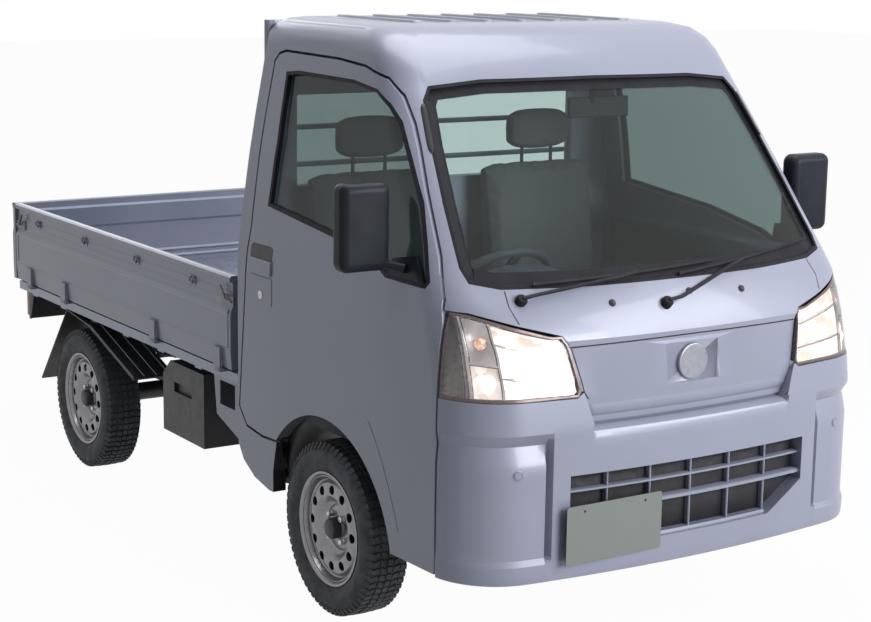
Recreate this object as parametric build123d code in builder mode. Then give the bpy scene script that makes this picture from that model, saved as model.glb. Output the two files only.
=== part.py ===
from build123d import *
from math import asin, cos, pi, radians, sin, sqrt
import os

# Small cab-over pickup with a drop-side bed.
# Millimetres. +Z is up, the truck faces -Y and its left side is +X.
# The origin is on the ground, in the middle of the length and of the width.

# ---- overall sizes --------------------------------------------------------
front_y = -1697.5            # foremost point of the bumper
rear_y = 1697.5              # rear face of the tailgate
body_half_width = 735.0      # doors and gates
cab_rear_y = -310.0          # rear face of the cab
roof_top_z = 1774.0          # roof skin between its ribs
roof_rib_rise = 6.0

# ---- wheels ---------------------------------------------------------------
front_axle_y = -856.0
rear_axle_y = 1044.0
tyre_radius = 268.0
tyre_width = 145.0
track_half = 652.0
rim_hole_count = 12
rim_hole_ring = 118.0
rim_hole_radius = 11.0
stub_radius = 14.0
running_gap = 0.05           # radial clearance of a stub axle in its hub
kingpin_x = 615.0
kingpin_radius = 13.0

# ---- cab walls and shut lines ---------------------------------------------
wall = 45.0                  # doors and walls below the waistline
upper_wall = 30.0            # pillars and window frames
door_gap = 8.0
rabbet_depth = 18.0          # outer step of the door opening
rabbet_gap = 16.0            # clearance of the opening behind that step
panel_gap = 6.0
shut_y = -1473.0             # front edge of the doors
hinge_inset = 16.0           # door hinge axis inboard of the skin
hinge_setback = 45.0         # and behind the door's front edge
hinge_pin_radius = 5.0
hinge_sleeve_radius = 9.0
hinge_pocket = 13.0          # half size of the pocket round a door hinge
hinge_height = 60.0
hinge_levels = [570.0, 900.0]
hinge_skin = 5.0             # door skin left over the pocket
door_swing_radius = 60.0     # space kept clear inboard of the hinge axis
glass_depth = 14.0
glass_thickness = 5.0

# ---- bed ------------------------------------------------------------------
bed_floor_top = 655.0
bed_floor_thickness = 13.0
bed_rail_z = 600.0
gate_low_z = 640.0
gate_top_z = 945.0
gate_thickness = 30.0
gate_front_y = -262.0
gate_gap = 6.0
gate_axis_z = 632.0
gate_axis_out = 3.0          # hinge axis outboard of the gate's outer face
gate_pin_radius = 4.0
gate_sleeve_radius = 8.0
gate_lug_radius = 7.0
gate_lug = 6.0               # thickness of a hinge lug
gate_sleeve = 46.0           # length of a hinge sleeve
hinge_strap = 12.0
side_hinge_y = [-172.0, 335.0, 1152.0, 1510.0]
tail_hinge_x = [-500.0, 0.0, 500.0]
headboard_y = -290.0
headboard_thickness = 28.0

# ---- chassis frame --------------------------------------------------------
rail_inner_x = 335.0
rail_width = 60.0
rail_height = 90.0
rail_front_z = 340.0
rail_rear_z = 490.0
rail_rise_start_y = -560.0
rail_rise_end_y = -300.0
rail_front_y = -1600.0
stay_height = 28.0           # bumper stays ahead of the rails
stay_front_y = -1650.0       # inside the bumper's wall, trimmed to its inner face
rail_rear_y = 1644.0

# Plan sections of the cab, from low to high.
# z, half width, front y on the centre line, x where the corner begins, bow of the front
lower_levels = [
    (306.0, 734.0, -1697.5, 560.0, 40.0),
    (725.0, 735.0, -1697.5, 560.0, 40.0),
    (850.0, 735.0, -1684.0, 560.0, 42.0),
    (935.0, 735.0, -1668.0, 560.0, 46.0),
    (1000.0, 735.0, -1645.0, 575.0, 55.0),
    (1050.0, 733.0, -1618.0, 600.0, 70.0),
    (1090.0, 727.0, -1590.0, 620.0, 85.0),
]
upper_levels = [
    (1090.0, 727.0, -1590.0, 620.0, 85.0),
    (1200.0, 713.0, -1505.0, 610.0, 84.0),
    (1350.0, 691.0, -1389.0, 588.0, 76.0),
    (1480.0, 668.0, -1287.0, 567.0, 69.0),
    (1613.0, 642.0, -1183.0, 545.0, 62.0),
    (1690.0, 628.0, -1123.0, 532.0, 60.0),
]
roof_levels = [
    (1690.0, 628.0, -1123.0, 532.0, 60.0),
    (1728.0, 618.0, -1080.0, 520.0, 58.0),
    (1756.0, 590.0, -1030.0, 500.0, 56.0),
    (1770.0, 545.0, -960.0, 460.0, 52.0),
    (1774.0, 490.0, -880.0, 410.0, 48.0),
]

# Side view outlines, as y, z.
door_outline = [
    (-322.0, 539.0), (-361.0, 890.0), (-386.0, 1131.0), (-381.0, 1396.0), (-384.0, 1640.0),
    (-405.0, 1662.0), (-444.0, 1671.0), (-763.0, 1666.0), (-925.0, 1654.0), (-1038.0, 1627.0),
    (-1100.0, 1582.0), (-1161.0, 1510.0), (-1206.0, 1448.0), (-1309.0, 1298.0),
    (-1394.0, 1176.0), (-1455.0, 1070.0), (shut_y, 1010.0), (shut_y, 312.0), (-1247.0, 307.0),
]
arch_start = (-1247.0, 307.0)
arch_mid = (-905.0, 614.0)
arch_end = (-566.0, 480.0)
door_low_rear = [(-473.0, 475.0), (-370.0, 487.0)]
window_outline = [
    (-465.0, 1613.0), (-541.0, 1621.0), (-872.0, 1616.0), (-1012.0, 1598.0), (-1082.0, 1562.0),
    (-1136.0, 1518.0), (-1215.0, 1416.0), (-1295.0, 1311.0), (-1355.0, 1207.0),
    (-1405.0, 1110.0), (-1394.0, 1092.0), (-1190.0, 1092.0), (-1150.0, 1112.0),
    (-901.0, 1160.0), (-473.0, 1202.0), (-477.0, 1405.0),
]

# Front view outlines, as x, z, of the side with positive x.
screen_outline = [
    (0.0, 1092.0), (330.0, 1091.0), (560.0, 1095.0), (640.0, 1112.0), (648.0, 1150.0),
    (628.0, 1306.0), (602.0, 1460.0), (576.0, 1575.0), (548.0, 1612.0), (384.0, 1628.0),
    (0.0, 1632.0),
]
lamp_outline = [
    (760.0, 811.0), (404.0, 808.0), (384.0, 822.0), (413.0, 951.0), (430.0, 975.0),
    (549.0, 1006.0), (667.0, 1042.0), (760.0, 1050.0),
]
rear_window_half_width = 545.0
rear_window_low_z = 1240.0
rear_window_top_z = 1530.0


pin_gap = 0.3                # end play of a pin or sleeve
hinge_x = body_half_width - hinge_inset
hinge_y = shut_y + hinge_setback


def plan_points(level, inset):
    """Return the key points of one plan section, moved inwards by inset."""
    z, half, front, turn_x, bow = level
    front_radius = (turn_x ** 2 + bow ** 2) / (2 * bow)
    turn_sin = turn_x / front_radius
    turn_cos = sqrt(1 - turn_sin ** 2)
    corner_radius = (half - turn_x) / (1 - turn_sin)
    centre_x = half - corner_radius
    centre_y = front + bow + corner_radius * turn_cos
    middle = (asin(turn_sin) + pi / 2) / 2
    inner_radius = corner_radius - inset
    start = (centre_x + inner_radius * turn_sin, centre_y - inner_radius * turn_cos)
    mid = (centre_x + inner_radius * sin(middle), centre_y - inner_radius * cos(middle))
    side = (half - inset, centre_y)
    nose = (0.0, front + inset)
    return nose, start, mid, side


def cab_block(levels, inset, rear_inset=None):
    """Return the solid inside the cab's outer surface, moved inwards by inset."""
    rear = cab_rear_y - (inset if rear_inset is None else rear_inset)
    with BuildPart() as block:
        for level in levels:
            nose, start, mid, side = plan_points(level, inset)
            with BuildSketch(Plane.XY.offset(level[0])):
                with BuildLine():
                    ThreePointArc((-start[0], start[1]), nose, start)
                    ThreePointArc(start, mid, side)
                    Line(side, (side[0], rear))
                    Line((side[0], rear), (-side[0], rear))
                    Line((-side[0], rear), (-side[0], side[1]))
                    ThreePointArc((-side[0], side[1]), (-mid[0], mid[1]), (-start[0], start[1]))
                make_face()
        loft(ruled=True)
    return block.part


def side_prism(points, grow, x_low, x_high):
    """Return a prism with an outline given as y, z, grown by grow, between two x places."""
    with BuildPart() as prism:
        with BuildSketch(Plane.YZ.offset(x_low)):
            with BuildLine():
                Polyline(*points, close=True)
            make_face()
            if grow:
                offset(amount=grow, kind=Kind.INTERSECTION)
        extrude(amount=x_high - x_low)
    return prism.part


def front_prism(points, grow, y_low, y_high):
    """Return a prism with an outline given as x, z, grown by grow, between two y places."""
    with BuildPart() as prism:
        with BuildSketch(Plane.XZ.offset(-y_high)):
            with BuildLine():
                Polyline(*points, close=True)
            make_face()
            if grow:
                offset(amount=grow, kind=Kind.INTERSECTION)
        extrude(amount=y_high - y_low)
    return prism.part


def block(x0, x1, y0, y1, z0, z1, mode=Mode.ADD):
    """Add a box between two corners to the part being built."""
    with Locations(((x0 + x1) / 2, (y0 + y1) / 2, (z0 + z1) / 2)):
        Box(x1 - x0, y1 - y0, z1 - z0, mode=mode)


def both_sides(solid):
    """Return a solid and its mirror image on the other side of the truck."""
    return [solid, mirror(solid, about=Plane.YZ, mode=Mode.PRIVATE)]


def door_prism(grow):
    """Return the prism of the left door's outline, grown by grow."""
    with BuildPart() as prism:
        with BuildSketch(Plane.YZ.offset(200.0)):
            with BuildLine():
                Polyline(*door_outline)
                ThreePointArc(arch_start, arch_mid, arch_end)
                Polyline(arch_end, *door_low_rear, door_outline[0])
            make_face()
            if grow:
                offset(amount=grow, kind=Kind.INTERSECTION)
        extrude(amount=600.0)
    return prism.part


def hollow(outer, inner):
    """Return the shell between two blocks."""
    with BuildPart() as shell:
        add(outer)
        add(inner, mode=Mode.SUBTRACT)
    return shell.part


# ---- cab blocks -----------------------------------------------------------
outer_low = cab_block(lower_levels, 0.0)
outer_high = cab_block(upper_levels, 0.0)
inner_low = cab_block(lower_levels, wall)
inner_high = cab_block(upper_levels, upper_wall, wall)

with BuildPart() as cab_shell:
    add(outer_low)
    add(outer_high)
    add(inner_low, mode=Mode.SUBTRACT)
    add(inner_high, mode=Mode.SUBTRACT)

screen_points = screen_outline + [(-x, z) for x, z in reversed(screen_outline[1:-1])]
screen_cut = front_prism(screen_points, 0.0, front_y - 100.0, -900.0)
rear_points = [
    (-rear_window_half_width, rear_window_low_z), (rear_window_half_width, rear_window_low_z),
    (rear_window_half_width, rear_window_top_z), (-rear_window_half_width, rear_window_top_z),
]
rear_cut = front_prism(rear_points, 0.0, cab_rear_y - 100.0, cab_rear_y + 100.0)
door_cut = door_prism(0.0)
side_room_low = cab_block(lower_levels, wall + door_gap, -wall)
side_room_high = cab_block(upper_levels, upper_wall + door_gap, -wall)
with BuildPart() as side_zone:
    add(door_prism(door_gap))
    add(side_room_low, mode=Mode.SUBTRACT)
    add(side_room_high, mode=Mode.SUBTRACT)
door_opening = side_zone.part
window_cut = side_prism(window_outline, 0.0, 200.0, 800.0)

# ---- doors ----------------------------------------------------------------
with BuildPart() as door_left:
    add(outer_low)
    add(outer_high)
    add(door_cut, mode=Mode.INTERSECT)
    add(cab_block(lower_levels, wall, -wall), mode=Mode.SUBTRACT)
    add(cab_block(upper_levels, upper_wall, -wall), mode=Mode.SUBTRACT)
    add(window_cut, mode=Mode.SUBTRACT)
    for z in hinge_levels:
        block(600.0, body_half_width - hinge_skin, shut_y - 1.0, hinge_y + hinge_pocket,
              z - 3.0, z + hinge_height + 3.0, mode=Mode.SUBTRACT)
        with BuildSketch(Plane.XY.offset(z + 12.0 + pin_gap)):
            with Locations((hinge_x, hinge_y)):
                Circle(hinge_sleeve_radius)
                Rectangle(2 * hinge_sleeve_radius, hinge_pocket, align=(Align.CENTER, Align.MIN))
                Circle(hinge_pin_radius + running_gap, mode=Mode.SUBTRACT)
        extrude(amount=hinge_height - 24.0 - 2 * pin_gap)
with BuildPart() as door_right:
    mirror(door_left.part, about=Plane.YZ)

glass_outer = cab_block(upper_levels, glass_depth)
glass_inner = cab_block(upper_levels, glass_depth + glass_thickness)
glass_layer = hollow(glass_outer, glass_inner)

with BuildPart() as door_glass_left:
    add(glass_layer)
    add(window_cut, mode=Mode.INTERSECT)
with BuildPart() as door_glass_right:
    mirror(door_glass_left.part, about=Plane.YZ)
with BuildPart() as windscreen:
    add(glass_layer)
    add(screen_cut, mode=Mode.INTERSECT)
with BuildPart() as rear_window:
    add(glass_layer)
    add(rear_cut, mode=Mode.INTERSECT)

# ---- cab body: pillars, header, rear wall and sills ------------------------
front_part_rear_y = -1380.0  # the nose and the bumper lie ahead of this plane
nose_top_z = 1183.0          # seam at the foot of the front pillars
bumper_top_z = 725.0
nose_low_z = bumper_top_z + panel_gap
rear_wall_low_z = 605.0
rear_wall_low_half = 640.0

rabbet_block_low = cab_block(lower_levels, rabbet_depth)
rabbet_block_high = cab_block(upper_levels, rabbet_depth)
with BuildPart() as rabbet:
    add(rabbet_block_low)
    add(rabbet_block_high)
    add(door_prism(rabbet_gap), mode=Mode.INTERSECT)
    add(side_room_low, mode=Mode.SUBTRACT)
    add(side_room_high, mode=Mode.SUBTRACT)

with BuildPart() as wheel_opening:
    with BuildSketch(Plane.YZ.offset(-800.0)):
        with BuildLine():
            Polyline((arch_start[0] - 230.0, 320.0), (arch_start[0], 320.0))
            ThreePointArc((arch_start[0], 320.0), (arch_mid[0], arch_mid[1] + 8.0), (-568.0, 472.0))
            Polyline((-568.0, 472.0), (-545.0, 377.0), (-545.0, 100.0),
                     (arch_start[0] - 230.0, 100.0), (arch_start[0] - 230.0, 320.0))
        make_face()
    extrude(amount=1600.0)

with BuildPart() as cab_body:
    add(cab_shell.part)
    for solid in both_sides(door_opening) + both_sides(rabbet.part):
        add(solid, mode=Mode.SUBTRACT)
    add(screen_cut, mode=Mode.SUBTRACT)
    add(rear_cut, mode=Mode.SUBTRACT)
    add(wheel_opening.part, mode=Mode.SUBTRACT)
    block(-900, 900, front_y - 50, front_part_rear_y, 200, nose_top_z, mode=Mode.SUBTRACT)
    block(-rear_wall_low_half, rear_wall_low_half, cab_rear_y - 100, cab_rear_y + 50, 200, rear_wall_low_z, mode=Mode.SUBTRACT)
    with BuildSketch(Plane.YZ.offset(-800.0)):
        with BuildLine():
            Polyline((-545.0, 200.0), (-545.0, 300.0), (-420.0, 325.0), (-345.0, 365.0),
                     (-310.0, 412.0), (-200.0, 412.0), (-200.0, 200.0), close=True)
        make_face()
    extrude(amount=1600.0, mode=Mode.SUBTRACT)

# ---- nose -----------------------------------------------------------------
lamp_cut = front_prism(lamp_outline, 0.0, front_y - 50.0, -1300.0)
lamp_inset = 4.0
badge_half = 95.0
badge_low_z = 812.0
badge_top_z = 925.0
badge_radius = 52.0
badge_z = 868.0
badge_plane_y = -1656.0

with BuildPart() as nose_zone:
    add(cab_shell.part)
    for solid in both_sides(door_opening):
        add(solid, mode=Mode.SUBTRACT)
    block(-900, 900, front_y - 50, front_part_rear_y, 200, nose_top_z, mode=Mode.INTERSECT)

# The middle of the nose is set back between these lines, given as x, z on the left.
trough_outline = [(0.0, 960.0), (430.0, 960.0), (352.0, 728.0), (352.0, 700.0), (0.0, 700.0)]
trough_points = trough_outline + [(-x, z) for x, z in reversed(trough_outline[1:-1])]
trough_levels = [
    # z, half width, front y, x where the corner begins, bow, as for the cab
    (690.0, 735.0, -1657.5, 560.0, 40.0),
    (728.0, 735.0, -1657.5, 560.0, 40.0),
    (803.0, 735.0, -1675.0, 560.0, 41.0),
    (935.0, 735.0, -1656.0, 560.0, 46.0),
    (961.0, 735.0, -1659.0, 566.0, 50.0),
]
with BuildPart() as trough:
    add(front_prism(trough_points, 0.0, front_y - 50.0, -1500.0))
    add(cab_block(trough_levels, 0.0), mode=Mode.SUBTRACT)

with BuildPart() as front_panel:
    add(nose_zone.part)
    add(trough.part, mode=Mode.SUBTRACT)
    add(screen_cut, mode=Mode.SUBTRACT)
    block(-900, 900, front_y - 50, 0, 200, nose_low_z, mode=Mode.SUBTRACT)
    for solid in both_sides(lamp_cut):
        add(solid, mode=Mode.SUBTRACT)
    block(-badge_half, badge_half, front_y - 50, badge_plane_y, badge_low_z, badge_top_z, mode=Mode.SUBTRACT)

with BuildPart() as headlights:
    add(cab_block(lower_levels, lamp_inset))
    add(inner_low, mode=Mode.SUBTRACT)
    for solid in both_sides(door_opening):
        add(solid, mode=Mode.SUBTRACT)
    add(Compound(both_sides(lamp_cut)), mode=Mode.INTERSECT)

with BuildPart() as ornament:
    with BuildSketch(Plane.XZ.offset(-badge_plane_y)):
        with Locations((0, badge_z)):
            Circle(badge_radius)
    extrude(amount=12.0)
    fillet(ornament.edges().group_by(Axis.Y)[0], radius=4.0)

# ---- bumper and grille ----------------------------------------------------
grille_outline = [
    (-430.0, 600.0), (430.0, 600.0), (430.0, 465.0), (290.0, 380.0), (-290.0, 380.0), (-430.0, 465.0),
]
grille_cut = front_prism(grille_outline, 0.0, front_y - 50.0, -1500.0)
grille_bar_x = [-290.0, -145.0, 0.0, 145.0, 290.0]
grille_bar_width = 16.0
grille_bar_depth = 22.0
grille_set_back = 20.0

pad_inner_x = 485.0          # the bumper's middle is set back between its two pads
pad_rise = 10.0
lip_top_z = 361.0
with BuildPart() as bumper_middle:
    block(-pad_inner_x, pad_inner_x, front_y - 50, -1500, lip_top_z, bumper_top_z + 50)
    add(cab_block(lower_levels, pad_rise), mode=Mode.SUBTRACT)

with BuildPart() as bumper:
    add(nose_zone.part)
    block(-900, 900, front_y - 50, 0, bumper_top_z, 1300, mode=Mode.SUBTRACT)
    add(bumper_middle.part, mode=Mode.SUBTRACT)
    add(grille_cut, mode=Mode.SUBTRACT)

with BuildPart() as grille_layer:
    add(cab_block(lower_levels, grille_set_back))
    add(cab_block(lower_levels, grille_set_back + grille_bar_depth), mode=Mode.SUBTRACT)
    add(grille_cut, mode=Mode.INTERSECT)
with BuildPart() as grille:
    for x in grille_bar_x:
        block(x - grille_bar_width / 2, x + grille_bar_width / 2, -1800, -1500, 300, 700)
    for low_z, high_z in [(380.0, 392.0), (478.0, 502.0), (540.0, 554.0), (588.0, 600.0)]:
        block(-430, 430, -1800, -1500, low_z, high_z)
    add(grille_layer.part, mode=Mode.INTERSECT)

# ---- roof -----------------------------------------------------------------
roof_wall = 22.0
roof_inner_levels = [roof_levels[0]] + [(level[0] - roof_wall, *level[1:]) for level in roof_levels[1:]]
rib_x = [-390.0, -260.0, -130.0, 0.0, 130.0, 260.0, 390.0]
rib_width = 36.0
rib_length = 470.0
rib_middle_y = -590.0
with BuildPart() as roof:
    add(cab_block(roof_levels, 0.0))
    add(cab_block(roof_inner_levels, roof_wall), mode=Mode.SUBTRACT)
    with BuildSketch(Plane.XY.offset(roof_top_z)):
        with Locations(*[(x, rib_middle_y) for x in rib_x]):
            SlotOverall(rib_length, rib_width, rotation=90)
    extrude(amount=roof_rib_rise)

# ---- cab floor ------------------------------------------------------------
floor_z = rail_front_z + rail_height
floor_plate = 12.0
deck_top_z = 640.0
riser_y = -1172.0
well_inner_x = 425.0         # inner wall of the wheel housings
well_rear_y = -560.0
floor_half = body_half_width - hinge_inset - door_swing_radius - 4.0
floor_front_y = -1625.0
floor_front = [(floor_half, -1470.0), (540.0, -1580.0), (280.0, floor_front_y)]
post_inner_x = floor_half - 27.0
post_top_z = 965.0
with BuildPart() as cab_floor:
    with BuildSketch(Plane.XY.offset(floor_z)):
        with BuildLine():
            Polyline((-floor_half, riser_y), *[(-x, y) for x, y in floor_front],
                     *reversed(floor_front), (floor_half, riser_y), close=True)
        make_face()
    extrude(amount=floor_plate)
    block(-floor_half, floor_half, riser_y - floor_plate, riser_y, floor_z, deck_top_z)
    block(-floor_half, floor_half, riser_y, cab_rear_y - wall, deck_top_z - floor_plate, deck_top_z)
    for side in (-1, 1):
        x0, x1 = sorted((side * well_inner_x, side * (well_inner_x - floor_plate)))
        block(x0, x1, riser_y, well_rear_y, floor_z, deck_top_z)
        x0, x1 = sorted((side * (well_inner_x - floor_plate), side * floor_half))
        block(x0, x1, well_rear_y, well_rear_y + floor_plate, floor_z + 60.0, deck_top_z)
        x0, x1 = sorted((side * post_inner_x, side * floor_half))
        block(x0, x1, hinge_y - 40.0, hinge_y + 30.0, floor_z, post_top_z)
        for z in hinge_levels:
            x0, x1 = sorted((side * floor_half, side * hinge_x))
            for z0 in (z, z + hinge_height - 12.0):
                block(x0, x1, hinge_y - 6.0, hinge_y + 6.0, z0, z0 + 12.0)
            with BuildSketch(Plane.XY.offset(z)):
                with Locations((side * hinge_x, hinge_y)):
                    Circle(hinge_pin_radius)
            extrude(amount=hinge_height)

# ---- dashboard and steering column ----------------------------------------
wheel_x = -330.0
steer_y = -1130.0
steer_z = 1010.0
steer_tilt = 45.0            # of the column from the vertical, towards the driver
steer_radius = 188.0
steer_tube = 13.0
column_radius = 27.0
dash_half = post_inner_x
dash_profile = [
    (-1700.0, 1082.0), (-1430.0, 1082.0), (-1310.0, 1048.0), (-1262.0, 985.0), (-1275.0, 800.0),
    (-1390.0, 745.0), (-1700.0, 745.0),
]
column_top = Vector(wheel_x, steer_y, steer_z)
column_axis = Vector(0, sin(radians(steer_tilt)), cos(radians(steer_tilt)))
column_plane = Plane(origin=column_top, x_dir=(1, 0, 0), z_dir=column_axis)
with BuildPart() as dashboard:
    with BuildSketch(Plane.YZ.offset(-dash_half)):
        with BuildLine():
            Polyline(*dash_profile, close=True)
        make_face()
    extrude(amount=2 * dash_half)
    add(inner_low, mode=Mode.INTERSECT)
    with BuildSketch(column_plane.offset(-32.3)):
        Circle(column_radius)
    extrude(amount=-200.0)

with BuildPart() as steering_wheel:
    with BuildSketch(Plane(origin=column_top, x_dir=(1, 0, 0), z_dir=(0, cos(radians(steer_tilt)), -sin(radians(steer_tilt))))):
        with Locations((steer_radius, 0)):
            Circle(steer_tube)
    revolve(axis=Axis(column_top, column_axis))
    with BuildSketch(column_plane.offset(-32.0)):
        Circle(46.0)
    extrude(amount=34.0)
    for angle in (0.0, 180.0, 270.0):
        with BuildSketch(column_plane.offset(-14.0)):
            with PolarLocations(105.0, 1, start_angle=angle):
                Rectangle(170.0, 30.0)
        extrude(amount=10.0)

# ---- seats ----------------------------------------------------------------
seat_x = 330.0
seat_half = 235.0
seat_profile = [
    (-1010.0, deck_top_z), (-1020.0, 745.0), (-985.0, 782.0), (-545.0, 765.0), (-470.0, 1330.0),
    (-455.0, 1470.0), (-395.0, 1470.0), (-385.0, 1330.0), (-430.0, deck_top_z),
]
with BuildPart() as seats:
    for side in (-1, 1):
        with BuildSketch(Plane.YZ.offset(side * seat_x - seat_half)):
            with BuildLine():
                Polyline(*seat_profile, close=True)
            make_face()
        extrude(amount=2 * seat_half)

# ---- chassis frame --------------------------------------------------------
cross_bars = [
    # middle y, depth along y, low z, height
    (-1560.0, 60.0, rail_front_z, 70.0),
    (front_axle_y, 110.0, rail_front_z - 60.0, 70.0),
    (-120.0, 60.0, rail_rear_z, 70.0),
    (480.0, 60.0, rail_rear_z + 20.0, 60.0),
    (1100.0, 50.0, rail_rear_z + 30.0, 60.0),
    (1624.0, 40.0, rail_rear_z, 80.0),
]
rail_profile = [
    (rail_front_y, rail_front_z), (rail_rise_start_y, rail_front_z),
    (rail_rise_end_y, rail_rear_z), (rail_rear_y, rail_rear_z),
    (rail_rear_y, rail_rear_z + rail_height), (rail_rise_end_y, rail_rear_z + rail_height),
    (rail_rise_start_y, rail_front_z + rail_height), (rail_front_y, rail_front_z + rail_height),
]
rail_outer_x = rail_inner_x + rail_width
spring_x = 365.0
spring_half = 28.0
spring_reach = 470.0
spring_eye_z = 410.0
with BuildPart() as frame:
    for x0 in (-rail_outer_x, rail_inner_x):
        with BuildSketch(Plane.YZ.offset(x0)):
            with BuildLine():
                Polyline(*rail_profile, close=True)
            make_face()
        extrude(amount=rail_width)
        block(x0, x0 + rail_width, stay_front_y, rail_front_y, rail_front_z, rail_front_z + stay_height)
    for middle_y, depth, low_z, height in cross_bars:
        block(-rail_outer_x, rail_outer_x, middle_y - depth / 2, middle_y + depth / 2, low_z, low_z + height)
    for side in (-1, 1):
        for end_y in (rear_axle_y - spring_reach, rear_axle_y + spring_reach):
            for offset_x in (-spring_half - 8.3, spring_half + 0.3):
                x0 = side * spring_x + offset_x
                block(x0, x0 + 8.0, end_y - 26, end_y + 26, spring_eye_z - 30, rail_rear_z)
    add(bumper.part, mode=Mode.SUBTRACT)

# ---- rear axle and springs ------------------------------------------------
axle_z = tyre_radius
drum_radius = 92.0
drum_inner_x = track_half - 20.0
backing_x = drum_inner_x - 8.0
stub_end_x = track_half + 22.0
with BuildPart() as rear_axle:
    with BuildSketch(Plane.YZ.offset(-backing_x)):
        with Locations((rear_axle_y, axle_z)):
            Circle(34.0)
    extrude(amount=2 * backing_x)
    with BuildSketch(Plane.YZ.offset(-stub_end_x)):
        with Locations((rear_axle_y, axle_z)):
            Circle(stub_radius)
    extrude(amount=2 * stub_end_x)
    for x0 in (-backing_x - 4.0, backing_x):
        with BuildSketch(Plane.YZ.offset(x0)):
            with Locations((rear_axle_y, axle_z)):
                Circle(drum_radius - 6.0)
        extrude(amount=4.0)
    with Locations((0, rear_axle_y, axle_z)):
        Sphere(100.0)
    with BuildSketch(Plane.XZ.offset(-(rear_axle_y - 190.0))):
        with Locations((0, axle_z)):
            Circle(48.0)
    extrude(amount=-190.0)

leaf_thickness = 8.0
with BuildPart() as leaf_springs:
    for side in (-1, 1):
        with BuildSketch(Plane.YZ.offset(side * spring_x - spring_half)):
            for count in range(4):
                reach = spring_reach - 95.0 * count
                top = axle_z + 34.0 + 4 * leaf_thickness - leaf_thickness * count
                rise = (spring_eye_z - (axle_z + 34.0 + 4 * leaf_thickness)) * (reach / spring_reach) ** 2
                with BuildLine():
                    ThreePointArc((rear_axle_y - reach, top + rise), (rear_axle_y, top),
                                  (rear_axle_y + reach, top + rise))
                    Line((rear_axle_y + reach, top + rise), (rear_axle_y + reach, top + rise - leaf_thickness))
                    ThreePointArc((rear_axle_y + reach, top + rise - leaf_thickness),
                                  (rear_axle_y, top - leaf_thickness),
                                  (rear_axle_y - reach, top + rise - leaf_thickness))
                    Line((rear_axle_y - reach, top + rise - leaf_thickness), (rear_axle_y - reach, top + rise))
                make_face()
            with Locations((rear_axle_y - spring_reach, spring_eye_z), (rear_axle_y + spring_reach, spring_eye_z)):
                Circle(18.0)
        extrude(amount=2 * spring_half)

# ---- driveline ------------------------------------------------------------
engine_half = rail_inner_x
with BuildPart() as engine:
    block(-240, 240, -760, -330, 270, 600)
    block(-engine_half, engine_half, -640, -600, 350, 400)
    block(-90, 90, -330, -40, 290, 440)
with BuildPart() as prop_shaft:
    with BuildSketch(Plane.XZ.offset(40.0)):
        with Locations((0, 320.0)):
            Circle(30.0)
    with BuildSketch(Plane.XZ.offset(-(rear_axle_y - 190.0))):
        with Locations((0, axle_z)):
            Circle(30.0)
    loft()

# ---- front suspension and knuckles ----------------------------------------
strut_x = 505.0
arm_z = axle_z - 100.0
ball_high_z = axle_z + 100.0
arm_end_x = kingpin_x + 8.0
arm_half = 16.0
with BuildPart() as front_suspension:
    for side in (-1, 1):
        x0, x1 = sorted((side * 340.0, side * arm_end_x))
        block(x0, x1, front_axle_y - arm_half, front_axle_y + arm_half, arm_z - 20, arm_z)
        x0, x1 = sorted((side * 340.0, side * 372.0))
        block(x0, x1, front_axle_y - arm_half, front_axle_y + arm_half, arm_z, rail_front_z - 60)
        x0, x1 = sorted((side * (strut_x - 20.0), side * arm_end_x))
        block(x0, x1, front_axle_y - arm_half, front_axle_y + arm_half, ball_high_z, ball_high_z + 20)
        with BuildSketch(Plane.XY.offset(ball_high_z)):
            with Locations((side * strut_x, front_axle_y)):
                Circle(22.0)
        extrude(amount=deck_top_z - floor_plate - ball_high_z)
        with BuildSketch(Plane.XY.offset(ball_high_z + 90.0)):
            with Locations((side * strut_x, front_axle_y)):
                Circle(46.0)
        extrude(amount=deck_top_z - floor_plate - ball_high_z - 110.0)

with BuildPart() as knuckle_left:
    with BuildSketch(Plane.XY.offset(arm_z + pin_gap)):
        with Locations((kingpin_x, front_axle_y)):
            Circle(kingpin_radius)
    extrude(amount=ball_high_z - arm_z - 2 * pin_gap)
    with BuildSketch(Plane.YZ.offset(kingpin_x)):
        with Locations((front_axle_y, axle_z)):
            Circle(30.0)
    extrude(amount=backing_x - kingpin_x)
    with BuildSketch(Plane.YZ.offset(backing_x)):
        with Locations((front_axle_y, axle_z)):
            Circle(drum_radius - 6.0)
    extrude(amount=4.0)
    with BuildSketch(Plane.YZ.offset(kingpin_x)):
        with Locations((front_axle_y, axle_z)):
            Circle(stub_radius)
    extrude(amount=stub_end_x - kingpin_x)
with BuildPart() as knuckle_right:
    mirror(knuckle_left.part, about=Plane.YZ)

# ---- wheels ---------------------------------------------------------------
bead_half = 56.0
barrel_radius = 160.0
flange_radius = 175.0
with BuildPart() as tyre_shape:
    with BuildSketch():
        with BuildLine():
            Line((-bead_half, barrel_radius), (bead_half, barrel_radius))
            Line((bead_half, barrel_radius), (bead_half, flange_radius))
            ThreePointArc((bead_half, flange_radius), (tyre_width / 2, 216.0), (63.0, 254.0))
            ThreePointArc((63.0, 254.0), (59.0, 262.0), (50.0, 266.0))
            ThreePointArc((50.0, 266.0), (0.0, tyre_radius), (-50.0, 266.0))
            ThreePointArc((-50.0, 266.0), (-59.0, 262.0), (-63.0, 254.0))
            ThreePointArc((-63.0, 254.0), (-tyre_width / 2, 216.0), (-bead_half, flange_radius))
            Line((-bead_half, flange_radius), (-bead_half, barrel_radius))
        make_face()
    revolve(axis=Axis.X)

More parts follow.
